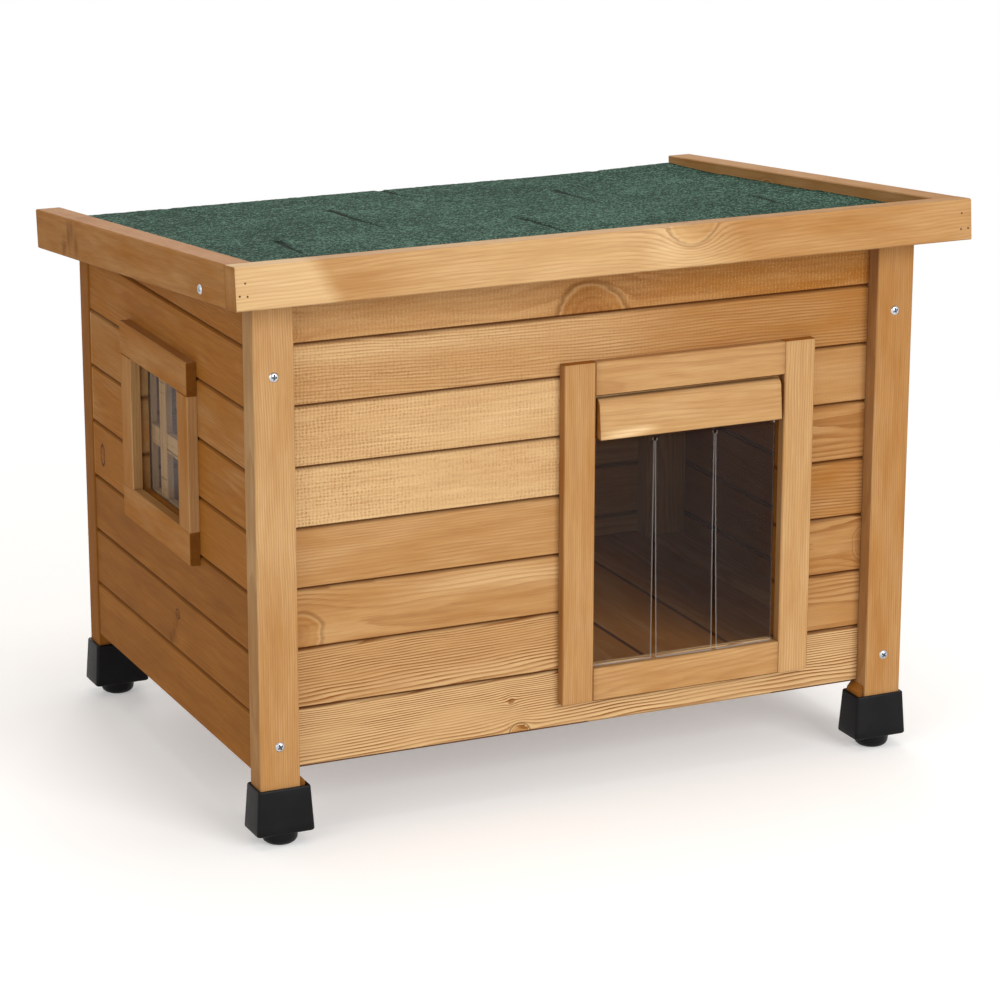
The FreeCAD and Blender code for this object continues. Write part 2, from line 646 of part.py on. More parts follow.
def make_floor():
    """Floor boards from front to rear on two bearers, with a short board beside the corner battens."""
    x = ("-side_board_inner", "side_board_inner")
    bearer_z = ("wall_bottom", "floor_base")
    keep(block("floor_bearer_front", x, ("front_batten_back", "front_batten_back + bearer_depth"), bearer_z),
         "floor_bearer_front")
    keep(block("floor_bearer_rear", x, ("rear_batten_front - bearer_depth", "rear_batten_front"), bearer_z),
         "floor_bearer_rear")
    boards = []
    for number in range(FLOOR_BOARDS):
        boards.append(floor_board(number))
    for side, sign in (("left", "-"), ("right", "")):
        boards.append(block(f"floor_edge_{side}", sorted_span(sign, "corner_inner", "floor_half"),
                            ("front_batten_back + floor_play", "rear_batten_front - floor_play"),
                            ("floor_base", "floor_top")))
    group("floor_boards", boards)


def floor_board(number):
    """One board between the bearers' lines, its face up and its tongue to the right."""
    body = new_body(f"floor_{number}")
    start = f"-corner_inner + {number} * floor_pitch"
    section = board_section("floor_thickness", "floor_pitch", groove=number > 0,
                            tongue=number < FLOOR_BOARDS - 1)
    corners = [(f"{start} + {across}", f"floor_top - ({depth})") for depth, across in section]
    add_prism(body, "XZ_Plane", corners, "-(rear_inner - floor_play)",
              "rear_inner - front_inner - 2 * floor_play")
    return body


def make_roof():
    """Fascias round three sides, boards and felt between them, and two stiffeners below."""
    half = "roof_width / 2"
    z = ("-fascia_height", "0")
    keep(on_roof(timber("fascia_front", (f"-{half}", half), ("0", "fascia_thickness"), z)), "fascia_front")
    for side, sign in (("left", "-"), ("right", "")):
        fascia = on_roof(timber(f"fascia_{side}", sorted_span(sign, "deck_half", "roof_width / 2"),
                                ("fascia_thickness", "roof_length"), z))
        drill(fascia, "YZ_Plane", [("fascia_screw_back", "-fascia_screw_drop")], "screw_radius + screw_play")
        keep(fascia, f"fascia_{side}")
    felt_z = ("-felt_drop - felt_thickness", "-felt_drop")
    flat = ("-deck_half", "deck_half")
    keep(on_roof(block("roof_felt", flat, ("fascia_thickness", "roof_length"), felt_z)), "roof_felt")
    boards = [on_roof(deck_board(number)) for number in range(DECK_BOARDS)]
    group("roof_boards", boards)
    inner_front = "(front_inner - roof_front + deck_batten_inset) / cos(roof_pitch)"
    inner_rear = "(rear_inner - roof_front - deck_batten_inset) / cos(roof_pitch)"
    for side, sign in (("left", "-"), ("right", "")):
        x = sorted_span(sign, "(deck_batten_spacing - deck_batten_width) / 2",
                        "(deck_batten_spacing + deck_batten_width) / 2")
        batten = block(f"roof_batten_{side}", x, (inner_front, inner_rear),
                       ("-deck_under - deck_batten_height", "-deck_under"))
        keep(on_roof(batten), f"roof_batten_{side}")


def deck_board(number):
    """One roof board across the roof, its bevelled face down."""
    body = new_body(f"deck_{number}")
    start = f"fascia_thickness + {number} * deck_pitch"
    section = board_section("deck_thickness", "deck_pitch", groove=number > 0,
                            tongue=number < DECK_BOARDS - 1)
    corners = [(f"{start} + {along}", f"-deck_under + {depth}") for depth, along in section]
    add_prism(body, "YZ_Plane", corners, "-deck_half", "2 * deck_half")
    return body


def make_hinges():
    """Two butt hinges in the corner between the rear wall and the roof's overhang."""
    for side, sign in (("left", "-"), ("right", "")):
        middle = f"{sign}hinge_spacing / 2"
        start = f"{middle} - hinge_length / 2"
        share = "(hinge_length - knuckle_share) / 2 - knuckle_gap"
        wall_spans = [(start, share), (f"{middle} + knuckle_share / 2 + knuckle_gap", share)]
        roof_spans = [(f"{middle} - knuckle_share / 2", "knuckle_share")]

        wall = new_body(f"hinge_wall_leaf_{side}")
        near = ("rear_face", "rear_face + leaf_thickness")
        add_prism(wall, "YZ_Plane", box_outline(*near, "pin_z - leaf_reach", "pin_z - leaf_notch"),
                  start, "hinge_length")
        for place, length in wall_spans:
            add_prism(wall, "YZ_Plane", box_outline(*near, "pin_z - leaf_notch", "pin_z"), place, length)
            add_rod(wall, "YZ_Plane", ("pin_y", "pin_z"), "knuckle_radius", place, length)
        drill(wall, "YZ_Plane", [("pin_y", "pin_z")], "pin_radius + pin_play")
        keep(wall, f"hinge_wall_leaf_{side}")

        roof = on_roof(new_body(f"hinge_roof_leaf_{side}"))
        under = ("-deck_under - leaf_thickness", "-deck_under")
        pin_drop = "-deck_under - hinge_offset"
        add_prism(roof, "YZ_Plane", box_outline("pin_back + leaf_notch", "pin_back + leaf_reach", *under),
                  start, "hinge_length")
        for place, length in roof_spans:
            add_prism(roof, "YZ_Plane", box_outline("pin_back", "pin_back + leaf_notch", *under),
                      place, length)
            add_rod(roof, "YZ_Plane", ("pin_back", pin_drop), "knuckle_radius", place, length)
        drill(roof, "YZ_Plane", [("pin_back", pin_drop)], "pin_radius + pin_play")
        keep(roof, f"hinge_roof_leaf_{side}")

        pin = new_body(f"hinge_pin_{side}")
        add_rod(pin, "YZ_Plane", ("pin_y", "pin_z"), "pin_radius", start, "hinge_length")
        keep(pin, f"hinge_pin_{side}")


def screw(label, plane, centre, head, shank):
    """A round-headed screw: where its head and its shank start along the plane's normal."""
    body = new_body(label)
    add_rod(body, plane, centre, "screw_head_radius", head, "screw_head_height")
    add_rod(body, plane, centre, "screw_radius", *shank)
    return body


def make_screws():
    """Screws through the posts into the corner battens, and through the side fascias."""
    posts = []
    for sign in ("-", ""):
        for z in ("post_screw_low", "post_screw_high"):
            place = (f"{sign}post_middle", z)
            posts.append(screw(f"front_screw{len(posts)}", "XZ_Plane", place, "-front_face",
                               ("-front_face - post_screw_length", "post_screw_length")))
            posts.append(screw(f"rear_screw{len(posts)}", "XZ_Plane", place, "-rear_face - screw_head_height",
                               ("-rear_face", "post_screw_length")))
    group("post_screws", posts)
    group("fascia_screws", [on_roof(fascia_screw(sign)) for sign in ("-", "")])


def fascia_screw(sign):
    """A screw in the outer face of a side fascia. Its tip stops short of the wall, so the roof can lift."""
    centre = ("fascia_screw_back", "-fascia_screw_drop")
    if sign:
        return screw("fascia_screw_left", "YZ_Plane", centre, "-roof_width / 2 - screw_head_height",
                     ("-roof_width / 2", "fascia_screw_length"))
    return screw("fascia_screw_right", "YZ_Plane", centre, "roof_width / 2",
                 ("roof_width / 2 - fascia_screw_length", "fascia_screw_length"))


def check_and_write():
    """Stop on any failed object, then write one file for each sub-part."""
    doc.recompute()
    failed = [item.Label for item in doc.Objects if {"Invalid", "Error"} & set(item.State)]
    failed += [piece.Label for piece in sub_parts if piece.Shape.isNull() or not piece.Shape.isValid()]
    if failed:
        raise RuntimeError("these did not build: " + ", ".join(failed))
    os.makedirs("parts", exist_ok=True)
    for piece in sub_parts:
        piece.Shape.exportStep(f"parts/{piece.Label}.step")
    print(len(sub_parts), "sub-parts,", sum(len(piece.Shape.Solids) for piece in sub_parts), "solids")


sizes = make_sheet()
make_posts()
make_feet()
make_front_wall()
make_rear_wall()
make_side_walls()
make_door()
make_flaps()
make_window()
make_floor()
make_roof()
make_hinges()
make_screws()
check_and_write()
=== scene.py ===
"""Looks of a small pine cat house with a felted pent roof, clear door flaps and a side window.

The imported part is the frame. Each timber is a plank surface that carries its own growth rings,
so that face, edge and end grain belong together. Lengths are in millimetres until a mesh is made.
"""
import math

import bpy
import numpy as np
from mathutils import Matrix, Vector


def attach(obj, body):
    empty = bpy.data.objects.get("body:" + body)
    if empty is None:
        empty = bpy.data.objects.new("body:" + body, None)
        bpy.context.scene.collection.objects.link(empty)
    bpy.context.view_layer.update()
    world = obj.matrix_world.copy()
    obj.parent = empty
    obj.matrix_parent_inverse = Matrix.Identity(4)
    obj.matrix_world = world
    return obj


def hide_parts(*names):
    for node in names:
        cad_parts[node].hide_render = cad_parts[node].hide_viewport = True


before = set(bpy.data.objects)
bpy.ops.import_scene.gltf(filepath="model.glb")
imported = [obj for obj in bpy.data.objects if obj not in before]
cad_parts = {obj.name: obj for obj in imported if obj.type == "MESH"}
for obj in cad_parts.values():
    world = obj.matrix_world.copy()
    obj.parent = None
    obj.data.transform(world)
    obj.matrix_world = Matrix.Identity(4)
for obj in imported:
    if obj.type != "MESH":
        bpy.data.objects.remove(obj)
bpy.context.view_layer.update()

# Directions of the house and of its roof, as in the part
X, Y, Z = np.eye(3)
PITCH = math.radians(5.4)
DOWN = np.array([0.0, math.cos(PITCH), -math.sin(PITCH)])
LIFT = np.array([0.0, math.sin(PITCH), math.cos(PITCH)])

# Roof
ROOF_FRONT = -217.612
ROOF_TOP = 429.0
ROOF_LENGTH = 440.0
ROOF_HALF = 285.0
FASCIA = 20.0
FASCIA_HEIGHT = 30.0
DECK_HALF = 265.0
DECK_FACE = -17.0
DECK_BOARD = 60.0
FELT_BED = -10.0
STIFFENER = 14.0

# Walls and posts
FRONT_FACE = -182.612
FRONT_BOARDS = -169.612
FRONT_INNER = -162.612
FRONT_BATTENS = -144.612
REAR_BATTENS = 155.435
REAR_INNER = 173.435
REAR_BOARDS = 180.435
REAR_FACE = 193.435
SIDE_BOARDS = 259.0
SIDE_INNER = 252.0
POST_IN = 230.0
POST_MIDDLE = 245.0
POST_WIDTH = 30.0
POST_DEPTH = 20.0
POST_FOOT = 14.0
BATTEN_MIDDLE = 234.0
BATTEN_WIDTH = 36.0
BATTEN_DEPTH = 18.0
WALL_BASE = 51.6
ROW = 44.0
BOARD = 7.0
FRONT_TOP = 406.3
FRONT_BATTEN_TOP = 404.6
REAR_TOP = 372.7
REAR_BOARD_TOP = 373.9
REAR_BATTEN_TOP = 374.6
FLOOR_TOP = 79.6
FOOT_MIDDLE = 242.5
FOOT_FRONT = -172.612
FOOT_REAR = 183.435

# Door and window
DOOR_FACE = -177.612
DOOR_LEFT = -22.5
DOOR_RIGHT = 181.5
DOOR_BASE = 70.6
DOOR_TOP = 326.1
FRAME = 25.0
FRAME_DEPTH = 8.0
FLAP_BATTEN_FACE = -182.112
FLAP_BATTEN_BASE = 269.1
FLAP_BATTEN_HEIGHT = 29.5
FLAP_MIDDLE = -170.612
FLAP_LEFT = 4.5
FLAP_WIDTH = 148.0
FLAP_AXIS = 262.5
FLAP_BASE = 96.2
WINDOW_FACE = -267.0
GLASS_FRONT = -47.0885
GLASS_REAR = 60.9115
GLASS_BASE = 201.0
GLASS_TOP = 304.0
PANE_FRONT = -57.0885
PANE_REAR = 70.9115
PANE_BASE = 191.0
PANE_HEIGHT = 123.0


def roof_place(x, down, lift):
    """A point on the roof: across, down the slope from the front edge, and square to the slope."""
    return np.array([0.0, ROOF_FRONT, ROOF_TOP]) + x * X + down * DOWN + lift * LIFT


# Finishes


def colour(red, green, blue):
    """A display colour from 0 to 255 as linear light."""
    shown = np.array([red, green, blue]) / 255
    linear = np.where(shown <= 0.04045, shown / 12.92, ((shown + 0.055) / 1.055) ** 2.4)
    return (*linear.tolist(), 1.0)


class Nodes:
    """The node tree of a material or of the room, with short ways to add to it."""

    def __init__(self, owner):
        owner.use_nodes = True
        self.owner = owner
        self.tree = owner.node_tree

    def lead(self, node, inputs):
        """Put values or links on a node's inputs."""
        for key, value in inputs.items():
            if isinstance(value, bpy.types.NodeSocket):
                self.tree.links.new(value, node.inputs[key])
            else:
                node.inputs[key].default_value = value

    def add(self, kind, inputs=None, **settings):
        """A node with its settings, and with values or links on its inputs."""
        made = self.tree.nodes.new("ShaderNode" + kind)
        for key, value in settings.items():
            setattr(made, key, value)
        self.lead(made, inputs or {})
        return made

    def calc(self, operation, a, b=0.0, c=0.0, clamp=False):
        """One sum on numbers or sockets."""
        return self.add("Math", {0: a, 1: b, 2: c}, operation=operation, use_clamp=clamp).outputs[0]

    def times(self, a, b):
        """The product of two."""
        return self.calc("MULTIPLY", a, b)

    def scaled(self, a, b, c, clamp=False):
        """The product of the first two, with the third added."""
        return self.calc("MULTIPLY_ADD", a, b, c, clamp)

    def ramp(self, value, low, high, first=0.0, last=1.0):
        """A smooth step from first to last while the value goes from low to high."""
        return self.add("MapRange", {0: value, 1: low, 2: high, 3: first, 4: last},
                        interpolation_type="SMOOTHSTEP").outputs[0]

    def mixed(self, share, a, b, kind="MIX"):
        """Two colours mixed by a share."""
        return self.add("Mix", {0: share, 6: a, 7: b}, data_type="RGBA", blend_type=kind).outputs[2]

    def speckle(self, vector, scale, detail=2.0):
        """Noise on a vector that is stretched by one scale, or by three."""
        scale = np.broadcast_to(scale, 3).tolist()
        stretched = self.add("VectorMath", {0: vector, 1: scale}, operation="MULTIPLY").outputs[0]
        return self.add("TexNoise", {"Vector": stretched, "Scale": 1.0, "Detail": detail,
                                     "Roughness": 0.55}).outputs["Fac"]

    def field(self, name, output="Fac"):
        """A number or vector that the mesh carries."""
        return self.add("Attribute", attribute_name=name).outputs[output]

    def parts(self, vector):
        """The three parts of a vector."""
        return self.add("SeparateXYZ", {0: vector}).outputs

    def place(self):
        """The place on the piece, in its own coordinates."""
        return self.add("TexCoord").outputs["Object"]

    def plainly_seen(self):
        """One for rays from the camera, off metal or through clear sheet, and nought for lighting rays."""
        path = self.add("LightPath").outputs
        seen = self.calc("MAXIMUM", path["Is Camera Ray"], path["Is Glossy Ray"])
        return self.calc("MAXIMUM", seen, path["Is Transmission Ray"])

    def finished(self, inputs, height=None, strength=0.0, distance=0.0):
        """The material, with the shader's inputs led to it, and a height as a bump."""
        shader = next(node for node in self.tree.nodes if node.type == "BSDF_PRINCIPLED")
        self.lead(shader, inputs)
        if height is not None:
            bump = self.add("Bump", {"Strength": strength, "Distance": distance, "Height": height})
            self.lead(shader, {"Normal": bump.outputs[0]})
        return self.owner


def new_finish(name):
    """The nodes of a new material."""
    return Nodes(bpy.data.materials.new(name))


def pine_finish():
    """Stained pine: rings from the ring count, fibres and saw marks along the grain, dark stain and painted
    shade in the grooves, and knots with their own rings."""
    n = new_finish("stained_pine")
    late_tint = colour(138, 82, 32)
    cream = colour(240, 208, 160)
    grain = n.field("grain", "Vector")
    knot = n.field("knot")
    tone, soil, rough = n.parts(n.field("mark", "Vector"))
    lines, rim, core = n.parts(n.field("figure", "Vector"))
    along, across, _ = n.parts(grain)
    fibre = n.speckle(grain, (0.6, 21, 21), 3.0)
    band = n.speckle(grain, (0.15, 4, 4))
    cloud = n.speckle(grain, (0.13, 0.55, 0.55))
    cloudy = n.calc("SUBTRACT", cloud, 0.5)

    # Growth rings: early wood that darkens slowly into a late line and ends there
    phase = n.calc("FRACT", n.scaled(band, 0.5, n.field("ring")))
    late = n.times(n.ramp(phase, 0.3, 0.88), n.ramp(phase, 0.9, 1.0, 1.0, 0.0))
    late = n.times(n.times(late, n.ramp(cloud, 0.25, 0.7, 0.35, 1.0)), lines)

    # Stain: deep to pale by the tone, worn to cream where it is palest
    light = n.scaled(cloudy, 0.9, tone)
    wood = n.mixed(n.scaled(light, 0.78, 0.22), colour(168, 111, 48), colour(220, 184, 134))
    wood = n.mixed(n.ramp(light, -0.3, -1.3, 0.0, 0.6), wood, colour(92, 52, 18))
    worn = n.scaled(n.calc("SUBTRACT", fibre, 0.5), 1.1, light)
    wood = n.mixed(n.ramp(worn, 0.95, 1.6, 0.0, 0.85), wood, cream)
    wood = n.mixed(n.times(late, 0.6), wood, late_tint)
    streak = n.ramp(n.scaled(band, 0.45, n.times(fibre, 0.55)), 0.34, 0.68)
    wood = n.mixed(n.times(streak, 0.24), wood, colour(172, 114, 58), "MULTIPLY")

    # Rough sawing: strokes across the grain, rows along it where it is roughest, and grit
    sway = n.times(n.speckle(grain, 1.5), 7.0)
    sag = n.times(n.speckle(grain, (0.5, 2, 2)), 6.0)
    saw = n.calc("SINE", n.scaled(along, 22.4, sway))
    rows = n.calc("SINE", n.scaled(across, 25.0, sag))
    rows = n.times(rows, n.ramp(rough, 0.75, 0.95, 0.15, 1.0))
    grit = n.scaled(n.speckle(grain, (8, 11, 11), 1.0), 2.4, -1.2)
    weave = n.scaled(n.calc("ADD", saw, rows), 0.42, grit)
    patch = n.ramp(n.speckle(grain, (0.4, 1, 1)), 0.3, 0.64, 0.35, 1.0)
    hatch = n.times(n.ramp(weave, 0.1, 0.95), n.times(rough, patch))
    crests = n.times(n.ramp(weave, -0.2, -0.9), n.ramp(rough, 0.45, 1.0))
    wood = n.mixed(n.times(crests, 0.3), wood, cream)
    wood = n.mixed(n.times(hatch, 0.46), wood, late_tint)

    # Knots: a warm heart, a pale shell, dark bark round it and arcs that fade outwards
    around = n.scaled(cloudy, 0.6, knot)
    inside = n.times(n.ramp(around, 0.9, 1.02, 1.0, 0.0), core)
    ember = n.scaled(around, 0.7, n.times(n.speckle(grain, (1.3, 2, 2)), 0.6))
    heart = n.mixed(n.ramp(ember, 0.35, 0.95), colour(208, 178, 136), colour(236, 218, 182))
    arcs = n.ramp(n.calc("SINE", n.times(around, 21.0)), 0.2, -0.9)
    halo = n.times(n.ramp(around, 1.0, 1.5, 1.0, 0.0), core)
    halo = n.times(halo, n.ramp(cloud, 0.35, 0.6, 0.6, 0.1))
    shell = n.times(n.ramp(around, 0.88, 0.96), n.ramp(around, 0.98, 1.05, 1.0, 0.0))
    bark = n.times(n.ramp(around, 0.96, 1.05), n.ramp(around, 1.06, n.scaled(rim, 0.45, 1.1), 1.0, 0.0))
    wood = n.mixed(n.times(halo, arcs), wood, late_tint)
    wood = n.mixed(inside, wood, heart, "MULTIPLY")
    wood = n.mixed(n.times(n.times(shell, core), 0.22), wood, cream)
    wood = n.mixed(n.times(bark, rim), wood, colour(66, 34, 12))
    # Dark stain in the joints together with painted shade in the grooves and gaps.
    wood = n.mixed(n.times(soil, 0.88), wood, colour(80, 40, 12))

    gloss = n.scaled(rough, 0.12, n.scaled(fibre, 0.22, 0.46))
    height = n.scaled(fibre, 0.35, n.times(late, 0.4))
    height = n.calc("SUBTRACT", height, n.times(hatch, 0.8))
    return n.finished({"Base Color": wood, "Roughness": gloss, "Specular IOR Level": 0.03},
                      height, 0.5, 0.0006)


def felt_finish():
    """Granulated roofing felt: mineral grains of mixed greens over dark bitumen, with painted shade in the
    slits, along the steps between courses and at the edges.
    """
    n = new_finish("green_felt")
    place = n.place()
    grains = n.add("TexVoronoi", {"Vector": place, "Scale": 760.0}).outputs
    tint = n.add("SeparateColor", {0: grains["Color"]}).outputs[0]
    patch = n.speckle(place, 150, 3.0)
    level = n.scaled(n.speckle(place, 14), 0.35, n.scaled(patch, 0.5, n.times(tint, 0.62)))
    green = n.mixed(n.ramp(level, 0.3, 0.8), colour(12, 32, 25), colour(38, 67, 54))
    green = n.mixed(n.ramp(level, 0.74, 1.0), green, colour(104, 137, 120))
    gaps = n.ramp(grains["Distance"], 0.45, 0.8)
    green = n.mixed(n.times(gaps, 0.55), green, colour(12, 24, 20))
    # Painted shade in the slits, under the course steps and along the edges.
    green = n.mixed(n.times(n.field("slit"), 0.92), green, colour(8, 13, 11))
    height = n.scaled(patch, 0.5, n.calc("SUBTRACT", tint, grains["Distance"]))
    return n.finished({"Base Color": green, "Roughness": n.scaled(tint, 0.25, 0.7),
                       "Specular IOR Level": 0.03}, height, 0.6, 0.0008)


def plastic_finish():
    """Black moulded plastic with a fine spark texture and slightly rubbed patches."""
    n = new_finish("black_plastic")
    place = n.place()
    rub = n.speckle(place, 55, 3.0)
    black = n.mixed(n.ramp(rub, 0.35, 0.75), colour(8, 8, 9), colour(16, 16, 18))
    return n.finished({"Base Color": black, "Roughness": n.scaled(rub, 0.22, 0.34),
                       "Specular IOR Level": 0.15}, n.speckle(place, 1500), 0.25, 0.0002)


def zinc_finish():
    """Bright zinc on steel, with fine crystals, a duller film in patches and cross recesses darkened as
    painted shade.
    """
    n = new_finish("zinc_steel")
    place = n.place()
    film = n.speckle(place, 180)
    zinc = n.mixed(n.ramp(film, 0.3, 0.7), colour(205, 208, 212), colour(176, 180, 186))
    # Painted shade in the cross recesses.
    zinc = n.mixed(n.times(n.field("recess"), 0.85), zinc, colour(52, 58, 70))
    return n.finished({"Base Color": zinc, "Roughness": n.scaled(film, 0.2, 0.2), "Metallic": 1.0},
                      n.speckle(place, 900), 0.15, 0.0002)


def clear_finish(name, tint, veil, edge_highlight, ripple, shine):
    """Clear sheet: a faint veil over what lies behind, partly the sheet's haze and partly a painted
    reflection, denser along cut edges and pale there as a painted highlight.
    """
    n = new_finish(name)
    place = n.place()
    edge = n.field("edge")
    cover = n.scaled(n.speckle(place, (26, 26, 9), 3.0), veil * 0.8, veil * 0.6)
    cover = n.scaled(edge, edge_highlight, cover, clamp=True)
    # The pale edge colour is a painted highlight.
    return n.finished({"Base Color": n.mixed(edge, tint, colour(226, 228, 232)), "Alpha": cover,
                       "Roughness": 0.07, "Specular IOR Level": shine},
                      n.speckle(place, (40, 40, 12)), ripple, 0.001)


def nail_finish():
    """Nail heads sunk in the wood, dark with stain and rust."""
    n = new_finish("stained_nail")
    rust = n.speckle(n.place(), 900)
    brown = n.mixed(n.ramp(rust, 0.35, 0.7), colour(58, 36, 20), colour(92, 58, 32))
    return n.finished({"Base Color": brown, "Roughness": n.scaled(rust, 0.3, 0.5)})


FINISH = {
    "stained_nail": nail_finish(),
    "stained_pine": pine_finish(),
    "green_felt": felt_finish(),
    "black_plastic": plastic_finish(),
    "zinc_steel": zinc_finish(),
    "clear_flap": clear_finish("clear_flap", colour(190, 180, 176), 0.016, 0.36, 0.08, 0.03),
    "clear_pane": clear_finish("clear_pane", colour(150, 140, 138), 0.2, 0.3, 0.04, 0.06),
}


# Surfaces


def put_piece(name, shapes, body, nodes, finish, angle):
    """Make one piece of one or more shapes and let it ride on its body in the place of its CAD nodes.
    A shape has points in millimetres, arrays of faces, and fields with a value for each point."""
    starts = np.cumsum([0] + [len(shape["points"]) for shape in shapes])
    faces = [face for shape, start in zip(shapes, starts) for group in shape["faces"]
             for face in (group + start).tolist()]
    fields = {field: np.concatenate([shape[field] for shape in shapes])
              for field in shapes[0] if field != "faces"}
    mesh = bpy.data.meshes.new(name)
    mesh.from_pydata((fields.pop("points") * 0.001).tolist(), [], faces)
    for field, values in fields.items():
        kind, item = ("FLOAT_VECTOR", "vector") if values.ndim == 2 else ("FLOAT", "value")
        layer = mesh.attributes.new(field, kind, "POINT")
        layer.data.foreach_set(item, values.astype(np.float32).ravel())
    mesh.polygons.foreach_set("use_smooth", np.ones(len(mesh.polygons), bool))
    mesh.set_sharp_from_angle(angle=math.radians(angle))
    mesh.update()
    mesh.materials.append(FINISH[finish])
    piece = bpy.data.objects.new(name, mesh)
    bpy.context.scene.collection.objects.link(piece)
    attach(piece, body)
    if nodes:
        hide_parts(*nodes)


def numbered(rows, columns):
    """The point numbers of a grid, row by row."""
    return np.arange(rows * columns).reshape(rows, columns)


def quads(numbers, closed=False):
    """Faces between neighbours in a grid of point numbers, the last column joined to the first if closed."""
    if closed:
        numbers = np.concatenate([numbers, numbers[:, :1]], axis=1)
    corners = [numbers[:-1, :-1], numbers[1:, :-1], numbers[1:, 1:], numbers[:-1, 1:]]
    return np.stack(corners, -1).reshape(-1, 4)


def turned(faces):
    """The same faces seen from the other side."""
    return faces[:, ::-1]


def growth(u, v, w, seed, cut, knots):
    """Growth rings in a plank: distance from a pith line that leans and wanders along the plank, over
    the ring width. Round a knot the lines part like a stream round a stone: the distance across is
    multiplied by one less the square of the knot's radius over the distance from it. The other results
    are the distance from the nearest knot in knot radii, and how dark its rim and its core are."""
    rng = np.random.default_rng(seed)
    side = rng.choice([-1.0, 1.0])
    reach = {"flat": (rng.uniform(-12, 12), rng.uniform(26, 60)),
             "rift": (side * rng.uniform(34, 60), rng.uniform(26, 55)),
             "straight": (side * rng.uniform(80, 150), rng.uniform(4, 22))}[cut]
    width = rng.uniform(1.25, 2.3)
    lean = rng.uniform(-0.02, 0.02, 2)
    turn = rng.uniform(0, 2 * math.pi, 5)
    parted = v.copy()
    near = np.full(v.shape, 9.0)
    rim = np.zeros(v.shape)
    core = np.zeros(v.shape)
    for knot in knots:
        knot_u, knot_v, radius, stretch, knot_rim, knot_core = (*knot, 0.5, 0.7)[:6]
        distance = np.hypot((u - knot_u) / stretch, v - knot_v)
        parted = parted - (v - knot_v) * np.minimum(radius ** 2 / (distance ** 2 + 0.1), 1.0)
        nearer = distance / radius < near
        rim = np.where(nearer, knot_rim, rim)
        core = np.where(nearer, knot_core, core)
        near = np.minimum(near, distance / radius)
    drift = (1.1 * np.sin(u / 71 + turn[0]) + 0.35 * np.sin(u / 23 + turn[1])
             + 0.12 * np.sin(u / 8.5 + v / 6 + turn[2]))
    ring = np.hypot(parted - reach[0] - lean[0] * u - drift,
                    w + reach[1] - lean[1] * u + 0.9 * np.sin(u / 83 + turn[3])) / width
    ring = ring + 0.12 * np.sin(u / 13 + v / 3.7 + turn[4])
    return ring + 40.0, near, rim, core


def along_stops(u, stops):
    """Values between stops, each a place along a plank and a value, or one value all over."""
    if np.ndim(stops) == 0:
        return np.full(len(u), float(stops))
    return np.interp(u, *zip(*stops))


def with_bells(values, u, v, bells):
    """Values with bells added, each over a place along and across, with two radii and a height."""
    for bell_u, bell_v, reach_u, reach_v, height in bells:
        values = values + height * np.exp(-((u - bell_u) / reach_u) ** 2 - ((v - bell_v) / reach_v) ** 2)
    return values


